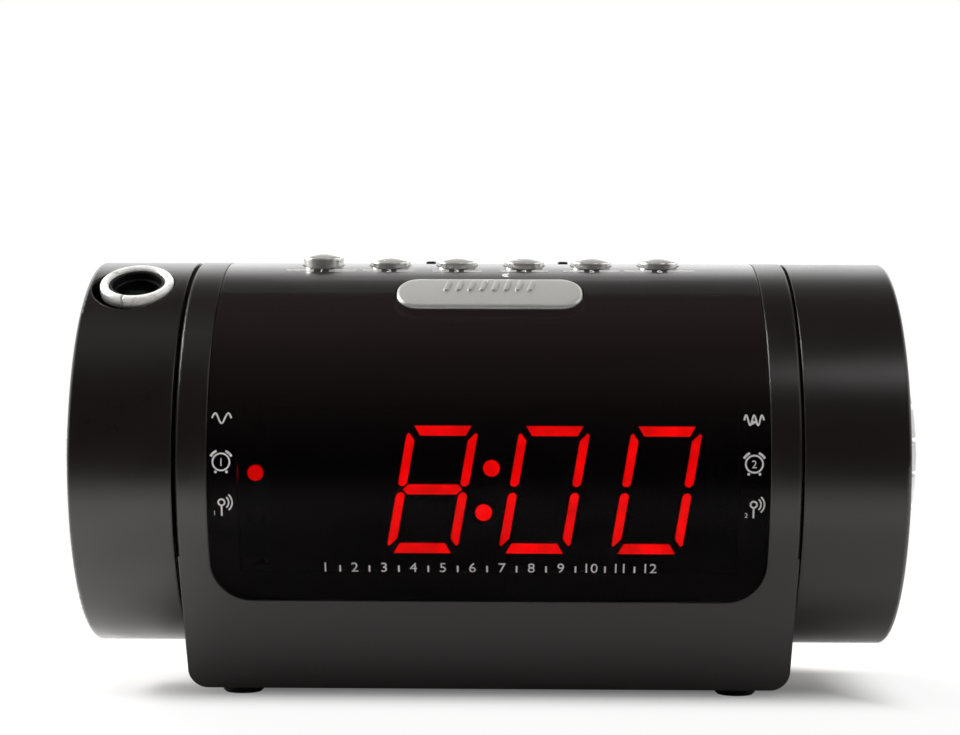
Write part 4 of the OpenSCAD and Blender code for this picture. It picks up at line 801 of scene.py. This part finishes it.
camera_data = bpy.data.cameras.new("camera")
camera_data.sensor_width = SENSOR
camera_data.lens = FOCAL_PX / IMAGE_W * SENSOR
camera = bpy.data.objects.new("camera", camera_data)
camera.location = CAMERA_PLACE
camera.rotation_euler = CAMERA_TURN
bpy.context.scene.collection.objects.link(camera)
bpy.context.scene.camera = camera


def softbox(name, place, size, power, mirrored=True, lights=True, only=()):
    """A soft lamp that looks at the clock, in reflections, as light, or as both.

    It reaches only the given pieces where the rest is flagged off.
    """
    data = bpy.data.lights.new(name, "AREA")
    data.shape = "RECTANGLE"
    data.size, data.size_y = size
    data.energy = power
    lamp = bpy.data.objects.new(name, data)
    lamp.location = place
    lamp.visible_glossy = mirrored
    lamp.visible_diffuse = lights
    aim = Vector((0, 0, 0.06)) - Vector(place)
    lamp.rotation_euler = aim.to_track_quat("-Z", "Y").to_euler()
    bpy.context.scene.collection.objects.link(lamp)
    if only:
        reached = bpy.data.collections.new(name + "_reaches")
        for piece in only:
            reached.objects.link(piece)
        lamp.light_linking.receiver_collection = reached


edge_lit = [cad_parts[node] for node in ("front_housing", "rear_housing",
                                              "speaker_housing", "ring_trim")]
edge_lit += [bpy.data.objects[node + "_cap"]
             for node in ("snooze_bar",) + tuple(key[0] for key in KEYS)]
softbox("left_lamp", (-0.95, 0.02, 0.45), (0.8, 0.8), 3.8)
softbox("right_lamp", (0.95, -0.1, 0.5), (0.8, 0.8), 3)
softbox("overhead_left_lamp", (-0.38, -0.33, 0.9), (0.5, 0.7), 0.3)
softbox("overhead_right_lamp", (0.36, -0.61, 0.80), (0.3, 0.18), 0.7)
softbox("left_edge_strip", (-0.87, 0.18, 0.52), (0.3, 0.5), 16, lights=False,
        only=edge_lit)
softbox("low_left_lamp", (-0.36, 0.3, 0.2), (0.2, 0.15), 4.4, mirrored=False, only=[floor])
softbox("rear_key_lamp", (-0.1, 0.5, 0.92), (0.2, 0.2), 8, mirrored=False)
softbox("front_fill_lamp", (-0.12, -0.3, 0.9), (0.5, 0.3), 5.5, mirrored=False)

world = bpy.data.worlds.new("studio_air")
bpy.context.scene.world = world
world.use_nodes = True
world.node_tree.nodes.clear()
toward = add(world, "SeparateXYZ", {"Vector": add(world, "TexCoord").outputs["Generated"]})
forward = add(world, "Math", {0: toward.outputs["Y"], 1: -1.0}, operation="MULTIPLY")
height = add(world, "Math", {0: toward.outputs["Z"], 1: 0.0}, operation="MAXIMUM")
turn_up = add(world, "Math", {0: height.outputs["Value"], 1: forward.outputs["Value"]},
              operation="ARCTAN2")
half_turn = add(world, "Math", {0: turn_up.outputs["Value"], 1: math.pi}, operation="DIVIDE")
room = add(world, "ValToRGB", {"Fac": half_turn.outputs["Value"]})
# The room's brightness from the front's floor line (0), over the top (0.5), to the rear's (1).
ROOM_LEVELS = ((0.0, 0.03), (0.2, 0.04), (0.45, 0.045), (0.58, 0.06), (0.68, 0.14),
               (0.74, 0.40), (0.78, 1.7), (0.84, 2.2), (0.92, 2.0), (0.97, 0.75))
ramp = room.color_ramp
while len(ramp.elements) < len(ROOM_LEVELS):
    ramp.elements.new(0.5)
for element, (turn, level) in zip(ramp.elements, ROOM_LEVELS):
    element.position = turn
    element.color = (level, level, level, 1)
lit_air = add(world, "Background", {"Color": room.outputs["Color"], "Strength": 1.0})
seen_air = add(world, "Background", {"Color": (1, 1, 1, 1), "Strength": 1.0})
pick = add(world, "MixShader", {"Fac": add(world, "LightPath").outputs["Is Camera Ray"],
                                1: lit_air.outputs[0], 2: seen_air.outputs[0]})
add(world, "OutputWorld", {"Surface": pick.outputs[0]})
bpy.context.scene.view_settings.view_transform = "Standard"
